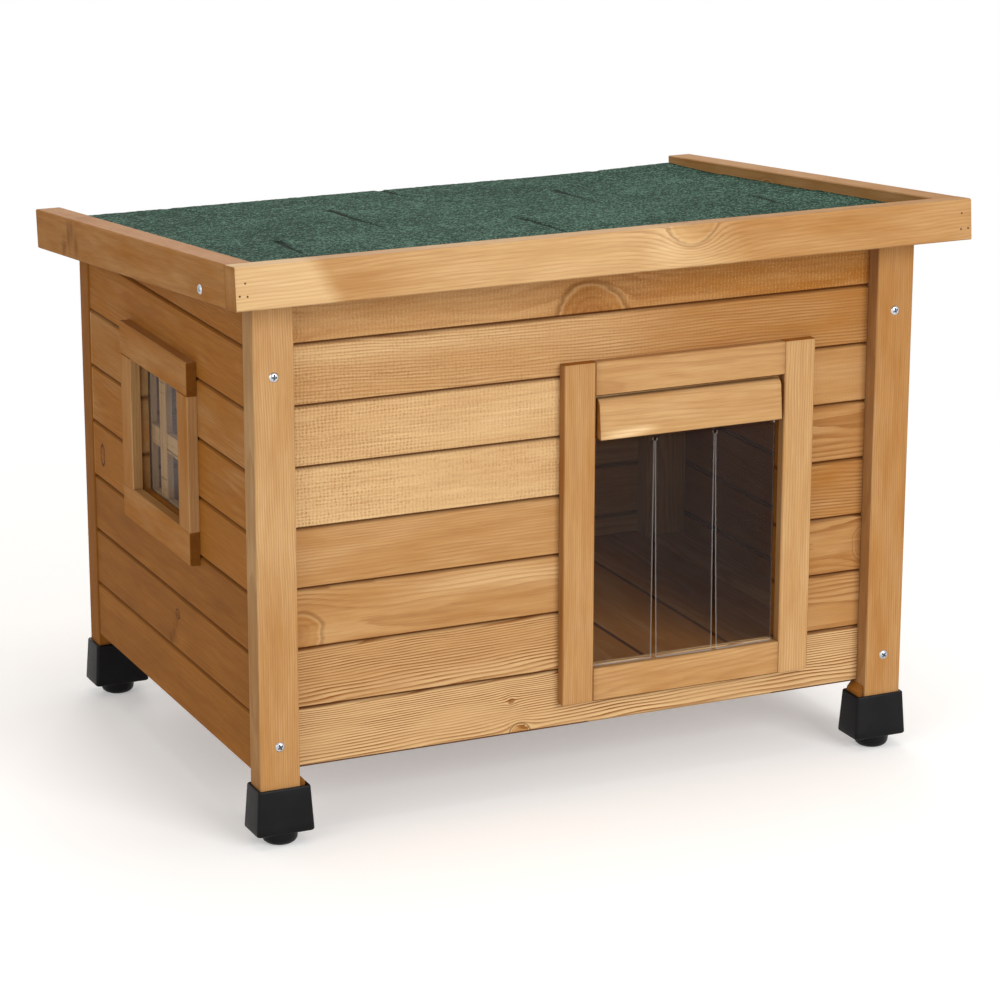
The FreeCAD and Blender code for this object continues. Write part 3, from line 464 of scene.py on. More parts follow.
def plank(origin, along, across, outward, length, low, high, thickness, seed, tone=0.5, tones=0.0,
          slant=0.0, painted_flank_light=0.0, tip=-0.8, patches=(), soil=0.25, crown=1.0, clean=(0, 0), end_soil=0.35,
          stains=(), rough=0.0, cut="flat", lines=0.5, knots=(), start=0.0, bevel=0.8, back=0.3,
          ease=0.3, step=3.0, relief=None):
    """A plank whose section is carried along its grain. The section is a grid across the width and
    through the thickness, drawn in by a bevel at the face and at the back; its outline runs along the
    plank and the whole grid closes both ends, which are drawn in by the ease. Low and high are the
    edges at both ends or along the whole length, relief(u, v) lowers the face, and start is where the
    plank begins in its tree. Tones along the plank, at a slant, are added to its tone, an offset for
    the long edges as painted light and shade, one for the ends, and patches as bells. Dark stain in
    the joints together with painted shade in the grooves and gaps darkens the lower bevel and the long
    edges, by the crown's share on the upper one, except in the clean stretch; a share of it darkens the
    ends, and stains do so as bells."""
    low = np.broadcast_to(np.asarray(low, float), 2)
    high = np.broadcast_to(np.asarray(high, float), 2)
    u = np.linspace(ease, length - ease, max(2, int(round(length / step))))
    if ease:
        u = np.concatenate([[0.0], u, [length]])
    inset = np.where((u == 0) | (u == length), ease, 0.0)
    lower = np.interp(u, [0, length], low) + inset
    upper = np.interp(u, [0, length], high) - inset
    share = np.linspace(0, 1, max(2, int(round((high - low).max() / step))) + 1)
    layers = max(1, int(round((thickness - bevel - back) / max(step, 2.5))))
    depth = np.concatenate([[0.0, 0.08], np.linspace(bevel, thickness - back, layers + 1), [thickness]])
    drawn = np.zeros(len(depth))
    drawn[:2] = bevel - depth[:2]
    drawn[-1] = back

    # Numbers across and through: the outline at every station, then the inside of both ends
    n, p = len(share), len(depth)
    ring_j = np.concatenate([np.arange(n), np.full(p - 2, n - 1), np.arange(n)[::-1], np.zeros(p - 2, int)])
    ring_k = np.concatenate([np.zeros(n, int), np.arange(1, p - 1), np.full(n, p - 1),
                             np.arange(1, p - 1)[::-1]])
    inner_j, inner_k = np.indices((n - 2, p - 2)).reshape(2, -1) + 1
    stations, outline, inner = len(u), len(ring_j), len(inner_j)
    at = np.concatenate([np.repeat(np.arange(stations), outline), np.repeat([0, stations - 1], inner)])
    shares = share[np.concatenate([np.tile(ring_j, stations), inner_j, inner_j])]
    levels = np.concatenate([np.tile(ring_k, stations), inner_k, inner_k])
    faces = [quads(numbered(stations, outline), closed=True)]
    for end, station in enumerate((0, stations - 1)):
        cap = np.zeros((n, p), int)
        cap[ring_j, ring_k] = station * outline + np.arange(outline)
        cap[inner_j, inner_k] = stations * outline + end * inner + np.arange(inner)
        faces.append(turned(quads(cap)) if end else quads(cap))
    if np.linalg.det(np.stack([along, across, outward])) < 0:
        faces = [turned(group) for group in faces]

    uu = u[at]
    vv = lower[at] + drawn[levels] + (upper[at] - lower[at] - 2 * drawn[levels]) * shares
    ww = -thickness / 2 + (thickness / 2 - depth[levels]) * (1 - 2 * inset[at] / thickness)
    if relief:
        ww = -thickness + (ww + thickness) * (1 - relief(uu, vv) / thickness)
    points = np.asarray(origin, float) + uu[:, None] * along + vv[:, None] * across + ww[:, None] * outward

    middle = (low.mean() + high.mean()) / 2
    grain_u = uu + start
    ring, near, rim, core = growth(grain_u, vv - middle, ww, seed, cut,
                                   [(knot[0], knot[1] - middle, *knot[2:]) for knot in knots])
    tips = (uu == 0) | (uu == length)
    flanks = ((shares == 0) | (shares == 1)) & (levels > 0)
    shade = tone + along_stops(grain_u + slant * (vv - middle), tones)
    # The long side faces are lightened or darkened as painted light and shade.
    shade = with_bells(shade, grain_u, vv, patches) + painted_flank_light * flanks + tip * tips
    edge = (shares == 0) * (levels > 0) + crown * (shares == 1) * (levels > 1)
    edge = edge * np.where((grain_u > clean[0]) & (grain_u < clean[1]), 0.1, 1.0)
    # Along the bevels and long edges: dark joint stain together with painted shade; the ends take a share of
    # it.
    stain = soil * edge + end_soil * soil * np.exp(-np.minimum(uu, length - uu) / 2.5)
    stain = np.clip(with_bells(stain, grain_u, vv, stains), 0, 1)
    drawn_lines = (lines + 0.55 * np.exp(-((near - 1) / 1.4) ** 2)) * np.where(tips, 0.3, 1.0)
    shift = np.random.default_rng(seed + 977).uniform(5, 90, 3)
    return {"points": points, "faces": faces, "grain": np.stack([grain_u, vv, ww], 1) * 0.1 + shift,
            "ring": ring, "knot": near, "mark": np.stack([shade, stain, along_stops(grain_u, rough)], 1),
            "figure": np.stack([drawn_lines, rim, core], 1)}


def timber(node, *planks, body="house"):
    """One wooden piece, or several loose ones of one kind, in the place of its CAD node."""
    put_piece(f"{node}_wood", planks, body, [node], "stained_pine", 32)


# Walls

# The stretch of a front board that the door frame covers
DOORWAY = (231.5, 387.5)


def wall_board(origin, along, outward, length, low, high, seed, **look):
    """A tongued wall board with a V bevel above and below, dark with stain and painted shade in the joints.
    """
    look = {"soil": 1.0, "crown": 0.8, **look}
    return plank(origin, along, Z, outward, length, low, high, BOARD, seed, bevel=1.8, **look)


def front_board(row, left, right, seed, height=ROW, **look):
    """A wall board in the front, its face to the front."""
    return wall_board((left, FRONT_BOARDS, WALL_BASE + row * ROW), X, -Y, right - left, 0, height, seed,
                      step=2.4, **look)


def make_front_wall():
    """Eight rows: a sill, four rows beside the doorway, and three rows over it."""
    timber("front_board_sill",
           front_board(0, -POST_IN, POST_IN, 11, tone=0.96, lines=1.7, cut="rift", clean=DOORWAY,
                       knots=[(177, 1.5, 5.5, 1.3), (170, 26, 2.2, 1.2)]))
    lefts = [dict(tone=0.5, cut="rift", lines=1.7, patches=[(150, 8, 80, 7, 0.4)]),
             dict(tone=0.24, lines=0.6, knots=[(5, 10, 15, 1.25, 0.3, 0.5)],
                  patches=[(150, 34, 60, 8, 0.6)]),
             dict(tone=0.28, cut="rift", lines=0.45),
             dict(tone=0.84, lines=0.15, rough=[(0, 1.2), (60, 1.0), (120, 0.7), (170, 0.8), (232, 1.0)])]
    rights = [dict(tone=0.2, lines=1.1),
              dict(tone=0.15, lines=1.1, knots=[(75, 22, 12, 0.8, 0.2, 0.25)]),
              dict(tone=0.05, cut="rift", lines=1.2),
              dict(tone=0.1, rough=0.3, lines=1.1)]
    for side, left, right, first, looks in (("left", -POST_IN, 1.5, 20, lefts),
                                            ("right", 157.5, POST_IN, 30, rights)):
        timber(f"front_boards_{side}", *[front_board(row, left, right, first + row, **look)
                                         for row, look in enumerate(looks, 1)])
    timber("front_board_lintel",
           front_board(5, -POST_IN, POST_IN, 41, tone=0.84, lines=0.2, clean=DOORWAY,
                       rough=[(0, 1.2), (70, 1.0), (140, 0.8), (240, 0.9), (330, 0.35), (460, 0.3)],
                       tones=[(0, 0), (240, 0), (360, -0.6), (460, -0.7)]))
    timber("front_board_upper",
           front_board(6, -POST_IN, POST_IN, 42, tone=0.38, lines=0.9, cut="rift",
                       rough=[(0, 0.9), (60, 0.7), (250, 0.6), (330, 0.35), (460, 0.3)],
                       tones=[(0, 0.1), (240, 0.1), (330, -0.35), (460, -0.4)],
                       patches=[(60, 36, 160, 9, 0.55)]))
    timber("front_board_top",
           front_board(7, -POST_IN, POST_IN, 43, FRONT_TOP - WALL_BASE - 7 * ROW, tone=0.28, rough=0.76,
                       lines=0.35, tones=[(0, 0.1), (180, 0.1), (290, -0.35), (460, -0.5)],
                       knots=[(233, 2, 19, 1.3, 0.35, 0.55), (1, 9, 8, 1.0, 0.1, 0.3)]))


def side_board(side, base, front, rear, low, high, **look):
    """A wall board in a side, its face outwards. High is its upper edge at its front and rear end."""
    if side == "left":
        return wall_board((-SIDE_BOARDS, rear, base), -Y, -X, rear - front, low, high[::-1], **look)
    return wall_board((SIDE_BOARDS, front, base), Y, X, rear - front, low, high, **look)


def make_side_walls():
    """Eight rows to a side, the last cut to the roof's slope, and the left ones cut out for the window."""
    tones = (-0.64, -0.74, -0.8, -0.42, -0.28, -0.1, -0.28, -0.3)
    spots = {("left", 1): dict(knots=[(187, 29, 3.0, 1.2, 1.0, 0.9)], patches=[(192, 9, 13, 8, 0.4)],
                               stains=[(184, 22, 3, 4.5, 0.45), (178, 13, 3, 5, 0.5),
                                       (171, 4, 3.5, 5, 0.55)]),
             ("left", 3): dict(knots=[(21, 21, 7, 0.6, 1.0, 0.35)])}
    for side, first in (("left", 60), ("right", 80)):
        boards = []
        for row, tone in enumerate(tones):
            base = WALL_BASE + row * ROW
            look = dict(seed=first + row, tone=tone, cut=("flat", "rift")[row % 2],
                        **spots.get((side, row), {}))
            if side == "right" or base + ROW <= GLASS_BASE or base >= GLASS_TOP:
                top = (FRONT_TOP - base, REAR_BATTEN_TOP - base) if row == 7 else (ROW, ROW)
                boards.append(side_board(side, base, FRONT_INNER, REAR_INNER, 0, top, **look))
                continue
            cuts = [(GLASS_REAR, REAR_INNER, 0, ROW), (FRONT_INNER, GLASS_FRONT, 0, ROW)]
            if base < GLASS_BASE:
                cuts.append((GLASS_FRONT, GLASS_REAR, 0, GLASS_BASE - base))
            if base + ROW > GLASS_TOP:
                cuts.append((GLASS_FRONT, GLASS_REAR, GLASS_TOP - base, ROW))
            for front, rear, low, high in cuts:
                # The cut ends round the window are lightened by the tip value as painted light, where they
                # lie in shade.
                boards.append(side_board(side, base, front, rear, low, (high, high), start=REAR_INNER - rear,
                                         ease=0.0, end_soil=0.0, tip=0.6, crown=0.8 if high == ROW else 0.1,
                                         **look))
        timber(f"{side}_boards", *boards)


def make_rear_wall():
    """Eight rows between the rear posts, and the rail that carries the hinges."""
    knots = {1: [(120, 20, 8, 1.2)], 4: [(330, 14, 10, 1.2)], 5: [(60, 30, 5, 1.1)]}
    boards = []
    for row, tone in enumerate((0.5, 0.35, 0.55, 0.4, 0.3, 0.6, 0.45, 0.35)):
        base = WALL_BASE + row * ROW
        height = REAR_BOARD_TOP - base if row == 7 else ROW
        boards.append(wall_board((POST_IN, REAR_BOARDS, base), -X, Y, 2 * POST_IN, 0, height, 100 + row,
                                 tone=tone, soil=0.9, crown=1.0, cut=("flat", "rift")[row % 2],
                                 knots=knots.get(row, ())))
    timber("rear_boards", *boards)
    timber("hinge_rail", plank((POST_IN, REAR_FACE, 328.7), -X, Z, Y, 2 * POST_IN, 0, 44, 13, 110, tone=0.45))


def make_posts():
    """Four posts with upright grain, and the battens behind them in the corners."""
    tones = {"front": (0.66, 0.1), "rear": (-0.5, 0.4)}
    fade = [(0, -0.5), (130, -0.46), (210, -0.14), (300, -0.16), (392, -0.24)]
    # The last value lightens or darkens the posts' side faces as painted light and shade.
    for end, s, face, top, inner, inner_top, painted_flank_light in (
            ("front", 1, FRONT_FACE, FRONT_TOP, FRONT_BATTENS, FRONT_BATTEN_TOP, 0.15),
            ("rear", -1, REAR_FACE, REAR_TOP, REAR_BATTENS, REAR_BATTEN_TOP, -0.05)):
        for number, side in enumerate(("left", "right")):
            seed = 130 + 2 * (end == "rear") + number
            hand = 2 * number - 1
            post = plank((hand * POST_MIDDLE + s * POST_WIDTH / 2, face, POST_FOOT), Z, -s * X, -s * Y,
                         top - POST_FOOT, 0, POST_WIDTH, POST_DEPTH, seed, tone=tones[end][number],
                         tones=fade if (end, side) == ("front", "left") else 0.0, cut="straight", back=0.8,
                         step=2.6, painted_flank_light=painted_flank_light)
            batten = plank((hand * BATTEN_MIDDLE - s * BATTEN_WIDTH / 2, inner, WALL_BASE), Z, s * X, s * Y,
                           inner_top - WALL_BASE, 0, BATTEN_WIDTH, BATTEN_DEPTH, seed + 10, tone=0.4, step=5)
            timber(f"post_{end}_{side}", post)
            timber(f"corner_batten_{end}_{side}", batten)


def make_packers():
    """Thin strips beside the posts in the foot caps, their tops bevelled away from the post."""
    length, width, thickness = 36.6, 17.0, 5.0
    strips = []
    for s in (1, -1):
        for low in (FRONT_FACE + 3, REAR_INNER):
            strips.append(plank((s * (thickness - POST_IN), low + width if s > 0 else low, POST_FOOT), Z,
                                -s * Y, s * X, length, 0, width, thickness, 150 + len(strips), tone=-0.25,
                                cut="straight", soil=0.5, step=2,
                                relief=lambda u, v: np.clip(u - length + thickness, 0, 4.7)))
    timber("leg_packers", *strips)


# Door


def make_door_frame():
    """Two stiles over the whole height, with a rail between them above and below."""
    # The stiles' side faces are darkened as painted shade.
    for side, right, tone, seed in (("left", DOOR_LEFT + FRAME, 0.25, 160), ("right", DOOR_RIGHT, 0.52, 161)):
        timber(f"door_stile_{side}",
               plank((right, DOOR_FACE, DOOR_BASE), Z, -X, -Y, DOOR_TOP - DOOR_BASE, 0, FRAME, FRAME_DEPTH,
                     seed, tone=tone, cut="rift", step=2.2, painted_flank_light=-0.2))
    for name, base, tone, seed in (("top", DOOR_TOP - FRAME, 0.38, 162), ("bottom", DOOR_BASE, 0.35, 163)):
        timber(f"door_rail_{name}",
               plank((DOOR_LEFT + FRAME, DOOR_FACE, base), X, Z, -Y, DOOR_RIGHT - DOOR_LEFT - 2 * FRAME, 0,
                     FRAME, FRAME_DEPTH, seed, tone=tone, step=2.2, soil=0.9, crown=0.15))


def batten_relief(u, v):
    """How far the flap batten's face lies back: three over its whole height, then a quarter round."""
    crown = np.clip(v - FLAP_BATTEN_HEIGHT + 4, 0, 4)
    return 3 * v / FLAP_BATTEN_HEIGHT + 4 - np.sqrt(16 - np.minimum(crown, 3.9) ** 2)


def make_flap_batten():
    """The tapered batten that clamps the clear sheet, worn pale along its lower front edge."""
    timber("flap_batten",
           plank((FLAP_LEFT, FLAP_BATTEN_FACE, FLAP_BATTEN_BASE), X, Z, -Y, FLAP_WIDTH, 0, FLAP_BATTEN_HEIGHT,
                 10.5, 170, lines=0.35, step=1.6, soil=0.35, bevel=0.5, relief=batten_relief,
                 patches=[(18, 3, 14, 3.2, 1.3), (34, 5, 10, 2.2, 0.9)]))


def fallen(heights):
    """How far down the strips a height lies, from nought at the hinge line to one at the foot."""
    return np.clip((FLAP_AXIS - heights) / (FLAP_AXIS - FLAP_BASE), 0, 1)


def clear_sheet(node, body, left, right, heights, bulge, lean, foot, rims):
    """A clear sheet from a left and a right edge given at each height: straight across between them,
    pushed back by a shallow arch and curled forward towards its foot by a lean at either edge, a front
    and a back surface a thickness apart that draw together at the rim. The outline is carried up the
    heights, and ladders of faces close both ends. Foot and rims are how much of a cut edge shows,
    denser and pale there as a painted highlight."""
    share = np.concatenate([[0, 0.008], np.linspace(0, 1, 13)[1:-1], [0.992, 1]])
    n = len(share)
    half = np.ones(n)
    half[[0, -1]] = 0.55
    shares = np.concatenate([share, share[::-1]])
    lift = np.concatenate([-half, half[::-1]])
    x = left[:, None] + (right - left)[:, None] * shares
    y = FLAP_MIDDLE + lift + bulge[:, None] * (1 - (2 * shares - 1) ** 2)
    y = y - fallen(heights)[:, None] ** 1.6 * (lean[0] + (lean[1] - lean[0]) * shares)
    z = np.repeat(heights[:, None], 2 * n, 1)
    edge = np.repeat((rims[0] * (shares == 0) + rims[1] * (shares == 1))[None], len(heights), 0)
    edge[0] = np.maximum(edge[0], foot)
    step = np.arange(n - 1)
    ladder = np.stack([step, 2 * n - 1 - step, 2 * n - 2 - step, step + 1], 1)
    faces = [turned(quads(numbered(len(heights), 2 * n), closed=True)), ladder,
             turned(ladder) + (len(heights) - 1) * 2 * n]
    sheet = {"points": np.stack([x, y, z], -1).reshape(-1, 3), "faces": faces, "edge": edge.ravel()}
    put_piece(f"{node}_clear", [sheet], body, [node], "clear_flap", 30)


def make_flaps():
    """A clear band clamped behind the batten and three strips below it. A strip's slit edges spread
    evenly from top to bottom, and at the top they follow the round stop holes."""
    heights = np.linspace(FLAP_AXIS + 1.4, FLAP_BATTEN_BASE + FLAP_BATTEN_HEIGHT - 2, 12)
    flat = np.zeros(len(heights))
    clear_sheet("flap_band", "house", flat + FLAP_LEFT, flat + FLAP_LEFT + FLAP_WIDTH, heights, flat,
                (0, 0), 0.0, (1.0, 1.0))
    straight = 258.0
    stop_hole = 1.6
    heights = np.concatenate([[FLAP_BASE], np.linspace(FLAP_BASE + 0.4, straight, 60),
                              np.linspace(straight + 0.4, FLAP_AXIS + 0.9, 26)])
    hole = np.sqrt(np.clip(stop_hole ** 2 - (heights - FLAP_AXIS) ** 2, 0, None))
    inset = np.maximum(0.4 + 1.6 * fallen(heights), hole)
    arch = np.sin(np.clip((straight - heights) / 158.5, 0, 1) * math.pi)
    for number, (name, sway, lean, rims) in enumerate([("flap_left", 0.5, (1.2, 2.2), (0.25, 1.0)),
                                                       ("flap_middle", -0.35, (2.4, 4.0), (1.0, 1.0)),
                                                       ("flap_right", 0.45, (4.0, 1.5), (1.0, 0.25))]):
        left = FLAP_LEFT + number * FLAP_WIDTH / 3 + (inset if number > 0 else 0 * inset)
        right = FLAP_LEFT + (number + 1) * FLAP_WIDTH / 3 - (inset if number < 2 else 0 * inset)
        clear_sheet(name, name, left, right, heights, sway * arch, lean, 1.0, rims)


# Window


def make_window():
    """The window frame outside the left wall, with its pane and lattice inside."""
    stile = 22.0
    front, rear = GLASS_FRONT + 3 - stile, GLASS_REAR - 3
    low, high = GLASS_BASE + 1, GLASS_TOP - 1
    # The frame's side faces are lightened as painted light.
    for name, base, tone, seed in (("top", high, -0.18, 180), ("bottom", low - FRAME, -0.2, 181)):
        timber(f"window_rail_{name}",
               plank((WINDOW_FACE, rear + stile, base), -Y, Z, -X, rear + stile - front, 0, FRAME,
                     FRAME_DEPTH, seed, tone=tone, lines=0.3, step=2.4, soil=0.2, crown=0.2, painted_flank_light=0.25,
                     tip=-0.9))
    for name, place, seed in (("front", front, 182), ("rear", rear, 183)):
        timber(f"window_stile_{name}",
               plank((WINDOW_FACE, place, low), Z, Y, -X, high - low, 0, stile, FRAME_DEPTH, seed,
                     tone=-0.14, lines=0.3, cut="rift", step=2.4, soil=0.05, painted_flank_light=0.55))
    look = dict(tone=1.35, cut="straight", step=2.5, soil=0.1, bevel=0.4)
    pane_thickness, bar = 2.0, 5.0
    face = pane_thickness - SIDE_INNER
    uprights = [(PANE_FRONT, GLASS_FRONT), (-28.5885, -13.5885), (27.4115, 42.4115), (GLASS_REAR, PANE_REAR)]
    bars = [plank((face, front, PANE_BASE), Z, Y, -X, PANE_HEIGHT, 0, rear - front, bar, 190 + number, **look)
            for number, (front, rear) in enumerate(uprights)]
    for column in range(3):
        front, rear = uprights[column][1], uprights[column + 1][0]
        for row, (base, height) in enumerate([(PANE_BASE, 10), (237, 15), (GLASS_TOP, 10)]):
            bars.append(plank((face, rear, base), -Y, Z, -X, rear - front, 0, height, bar,
                              195 + 3 * column + row, ease=0.0, **look))
    timber("window_lattice", *bars)
    pane = plank((-SIDE_INNER, PANE_REAR, PANE_BASE), -Y, Z, -X, PANE_REAR - PANE_FRONT, 0, PANE_HEIGHT,
                 pane_thickness, 199, step=8, bevel=0.3)
    sheet = {"points": pane["points"], "faces": pane["faces"], "edge": 1.0 * (pane["mark"][:, 1] > 0.1)}
    put_piece("window_pane_clear", [sheet], "house", ["window_pane"], "clear_pane", 30)


# Floor and roof


def make_floor():
    """Boards from front to rear with V joints between them, on two bearers."""
    width, thickness = 72.0, 8.0
    boards = [plank((width * (number - 3), REAR_INNER - 0.5, FLOOR_TOP), -Y, X, Z, 335.05, 0, width,
                    thickness, 210 + number, tone=tone, bevel=1.8, soil=0.9, step=4)
              for number, tone in enumerate((-0.3, -0.15, -0.35, -0.2, -0.25, -0.1))]
    boards += [plank((low, REAR_BATTENS - 0.5, FLOOR_TOP), -Y, X, Z, 299.05, 0, 35.5, thickness,
                     220 + number, tone=0.35, step=5)
               for number, low in enumerate((0.5 - SIDE_INNER, 3 * width))]
    timber("floor_boards", *boards)
    for name, face, seed in (("front", FRONT_BATTENS, 230), ("rear", REAR_BATTENS - BATTEN_DEPTH, 231)):
        timber(f"floor_bearer_{name}",
               plank((-SIDE_INNER, face, WALL_BASE), X, Z, -Y, 2 * SIDE_INNER, 0, 20, BATTEN_DEPTH, seed,
                     tone=0.35, step=5))


def fascia(side, x, down, along, outward, length, seed, **look):
    """A fascia on edge, from a place on the roof's outline."""
    timber(f"fascia_{side}", plank(roof_place(x, down, -FASCIA_HEIGHT), along, LIFT, outward, length, 0,
                                   FASCIA_HEIGHT, FASCIA, seed, back=0.8, soil=0.2, **look), body="roof")


def make_roof():
    """Fascias round three sides, and the boards and stiffeners under the felt."""
    fascia("front", -ROOF_HALF, 0, X, -DOWN, 2 * ROOF_HALF, 240, tone=0.45, step=2.4, cut="rift", lines=0.34,
           tip=-1.15, slant=0.55, knots=[(342, 34, 17, 1.15, 0.15, 0.4)], patches=[(322, 14, 14, 12, 0.45)],
           tones=[(0, 0.6), (58, 0.7), (72, -0.15), (100, -0.1), (170, 0.25), (300, 0.3), (338, 0.5),
                  (352, 0.3), (385, -0.25), (480, -0.25), (570, -0.1)])
    fascia("left", -ROOF_HALF, ROOF_LENGTH, -DOWN, -X, ROOF_LENGTH - FASCIA, 241, tone=-0.08, lines=0.3,
           step=2.6, knots=[(70, 8, 4, 0.7, 0.3, 0.8)],
           stains=[(80, 17, 4, 11, 0.62), (88, 21, 3, 9, 0.5), (97, 11, 4.5, 9, 0.6), (66, 5, 4, 7, 0.5)])
    fascia("right", ROOF_HALF, FASCIA, DOWN, X, ROOF_LENGTH - FASCIA, 242, tone=0.2, lines=0.3, step=2.6,
           knots=[(250, 16, 6, 1.3)])
    knots = {0: [(140, 20, 8, 1.2)], 2: [(390, 40, 10, 1.2)], 4: [(70, 30, 7, 1.2)]}
    boards = [plank(roof_place(-DECK_HALF, FASCIA + DECK_BOARD * (number + 1), DECK_FACE), X, -DOWN, -LIFT,
                    2 * DECK_HALF, 0, DECK_BOARD, BOARD, 250 + number, tone=tone, bevel=1.8, soil=0.9,
                    step=4.5, knots=knots.get(number, ()))
              for number, tone in enumerate((0.4, 0.5, 0.3, 0.55, 0.45, 0.35, 0.5))]
    timber("roof_boards", *boards, body="roof")
    start = (FRONT_INNER - ROOF_FRONT + 30) / math.cos(PITCH)
    end = (REAR_INNER - ROOF_FRONT - 30) / math.cos(PITCH)
    for number, (side, low) in enumerate((("left", -165), ("right", 135))):
        batten = plank(roof_place(low, start, DECK_FACE - STIFFENER), DOWN, X, -LIFT, end - start, 0, 30,
                       STIFFENER, 260 + number, tone=0.4, step=4)
        timber(f"roof_batten_{side}", batten, body="roof")


# Slits between the felt's tabs: across and down-slope at the deep end and at the far end, and strength
SLITS = [(-197, 95, -186, 181, 0.95), (1, 84, 11, 192, 1.0), (198, 105, 211, 198, 0.9),
         (-92, 201, -82, 342, 1.0), (100, 232, 111, 337, 0.95), (-156, 357, -179, 441, 0.45),
         (3, 378, 3, 441, 0.8), (189, 415, 196, 441, 0.6)]
# Rear edges of the first two courses of felt
BUTTS = (192.0, 342.0)


def lines_with(low, high, step, extra):
    """Even places from low to high together with the extra ones, in order."""
    even = np.linspace(low, high, int(round((high - low) / step)) + 1)
    extra = np.array([place for place in extra if low < place < high])
    keep = np.min(np.abs(even[:, None] - extra), axis=1) > 0.35
    keep[[0, -1]] = True
    return np.unique(np.concatenate([even[keep], extra]))


def make_felt():
    """Three courses of granulated felt. The top is a height over across and down-slope: each course
    climbs evenly to its rear edge and drops there, slits between the tabs are sunk with steep sides,
    and every point has a grain's worth of random height. The bed is one flat face."""
    rng = np.random.default_rng(300)
    middles = [(slit[0] + slit[2]) / 2 for slit in SLITS]
    offsets = (-2.9, -1.9, -0.8, 0.8, 1.9, 2.9)
    across = lines_with(-DECK_HALF, DECK_HALF, 2.5,
                        [middle + offset for middle in middles for offset in offsets])
    slope = lines_with(FASCIA, ROOF_LENGTH, 2.5, [butt + offset for butt in BUTTS for offset in (-0.4, 0.4)])
    s, even = np.meshgrid(slope, across, indexing="ij")
    course = np.searchsorted(BUTTS, s)
    starts = np.array([FASCIA, *BUTTS])[course]
    stops = np.array([*BUTTS, ROOF_LENGTH])[course]
    x = even.copy()
    depth = np.zeros(s.shape)
    for middle, (x_near, first, x_far, last, strength) in zip(middles, SLITS):
        path = x_near + (x_far - x_near) * (s - first) / (last - first) - middle
        path = path + 0.5 * np.sin(s / 17 + middle) + 0.25 * np.sin(s / 6.1)
        within = np.clip((s - first) / 20 + 1, 0, 1) * np.clip((last - s) / 20 + 1, 0, 1)
        x = x + path * within * np.exp(-((even - middle) / 14) ** 4) * (np.abs(even) < DECK_HALF - 1)
        share = np.clip((s - first) / (last - first), 0, 1)
        side = np.clip(1.2 + 2.3 * share - np.abs(even - middle), 0, 1)
        run = np.clip((s - first) / 20 + 0.2, 0, 1) * np.clip(last + 1 - s, 0, 1)
        depth = np.maximum(depth, side * run * strength)
    curl = np.clip((x - 130) / 130, 0, 1) ** 1.5 * np.clip((s - 300) / 140, 0, 1) ** 2
    height = -8.95 + 0.75 * (s - starts) / (stops - starts) + rng.normal(0, 0.09, s.shape) + 2.4 * curl
    height = height - 0.85 * depth
    # The slit field darkens the felt as painted shade: in the slits, below the step at each course's rear
    # edge and along the outer edges.
    drop = np.exp(-np.min(np.abs(s[..., None] - np.array(BUTTS) - 1.0), axis=-1) / 1.2)
    rim = (s < FASCIA + 2) | (np.abs(x) > DECK_HALF - 2)
    slit = np.maximum(np.clip(depth + 0.2 * drop, 0, 1), 0.35 * rim)

    numbers = numbered(*s.shape)
    border = np.concatenate([numbers[0, :-1], numbers[:-1, -1], numbers[-1, :0:-1], numbers[:0:-1, 0]])
    under = s.size + np.arange(len(border))
    skirt = np.stack([border, under, np.roll(under, -1), np.roll(border, -1)], 1)
    top = roof_place(x[..., None], s[..., None], height[..., None]).reshape(-1, 3)
    bed = roof_place(x.ravel()[border, None], s.ravel()[border, None], FELT_BED)
    felt = {"points": np.concatenate([top, bed]), "faces": [turned(quads(numbers)), skirt, under[None, ::-1]],
            "slit": np.concatenate([slit.ravel(), np.full(len(border), 0.6)])}
    put_piece("roof_felt_granules", [felt], "roof", ["roof_felt"], "green_felt", 180)


# Feet and fasteners


def make_feet():
    """A flared cap with rounded corners over a round domed glide: one outline after another from the
    socket over the rim, down the flare, round the lower edge and in to the glide's rounded sole. A point
    of an outline is the centre of its corner plus the corner's radius at its turn."""
    corner = np.linspace(0, math.pi / 2, 7) - 1e-9
    angles = np.concatenate([corner * (1 - 1e-6) + turn * math.pi / 2 + 1e-7 for turn in range(4)])
    way = np.stack([np.cos(angles), np.sin(angles)], -1)
    # Half the length and width of each outline, its corner radius and its height
    rings = [(17.7, 10.2, 0.3, 40.0), (17.7, 10.2, 0.3, 43.0), (18.2, 10.7, 0.6, 43.5),
             (19.3, 11.8, 1.8, 43.5), (19.85, 12.35, 2.2, 42.9)]
    rings += [(19.9 + 2.0 * t, 12.4 + 2.0 * t, 2.2 + 0.6 * t, 42.9 - 31.6 * t)
              for t in np.linspace(0.02, 1, 7)]
    rings += [(21.6, 14.1, 2.7, 10.5), (21.0, 13.5, 2.4, 10.0)]
    rings += [(radius, radius, radius, height)
              for radius, height in [(13.0, 9.9), (13.0, 5.6), (12.7, 3.9), (11.9, 2.3), (10.5, 1.1),
                                     (8.8, 0.35), (6.8, 0.0), (3.0, 0.0)]]
    half, radius, height = np.split(np.array(rings)[:, None], [2, 3], axis=-1)
    flat = np.sign(way) * (half - radius) + radius * way
    outlines = np.concatenate([flat, np.broadcast_to(height, (*flat.shape[:2], 1))], -1)
    points = np.concatenate([outlines.reshape(-1, 3), np.zeros((1, 3))])
    numbers = numbered(*flat.shape[:2])
    sole = np.stack([np.roll(numbers[-1], -1), numbers[-1], np.full(len(angles), numbers.size)], 1)
    faces = [quads(numbers, closed=True), sole, numbers[:1]]
    for end, y in (("front", FOOT_FRONT), ("rear", FOOT_REAR)):
        for side, x in (("left", -FOOT_MIDDLE), ("right", FOOT_MIDDLE)):
            put_piece(f"foot_{end}_{side}_moulded", [{"points": points + (x, y, 0), "faces": faces}], "house",
                      [f"foot_{end}_{side}"], "black_plastic", 38)


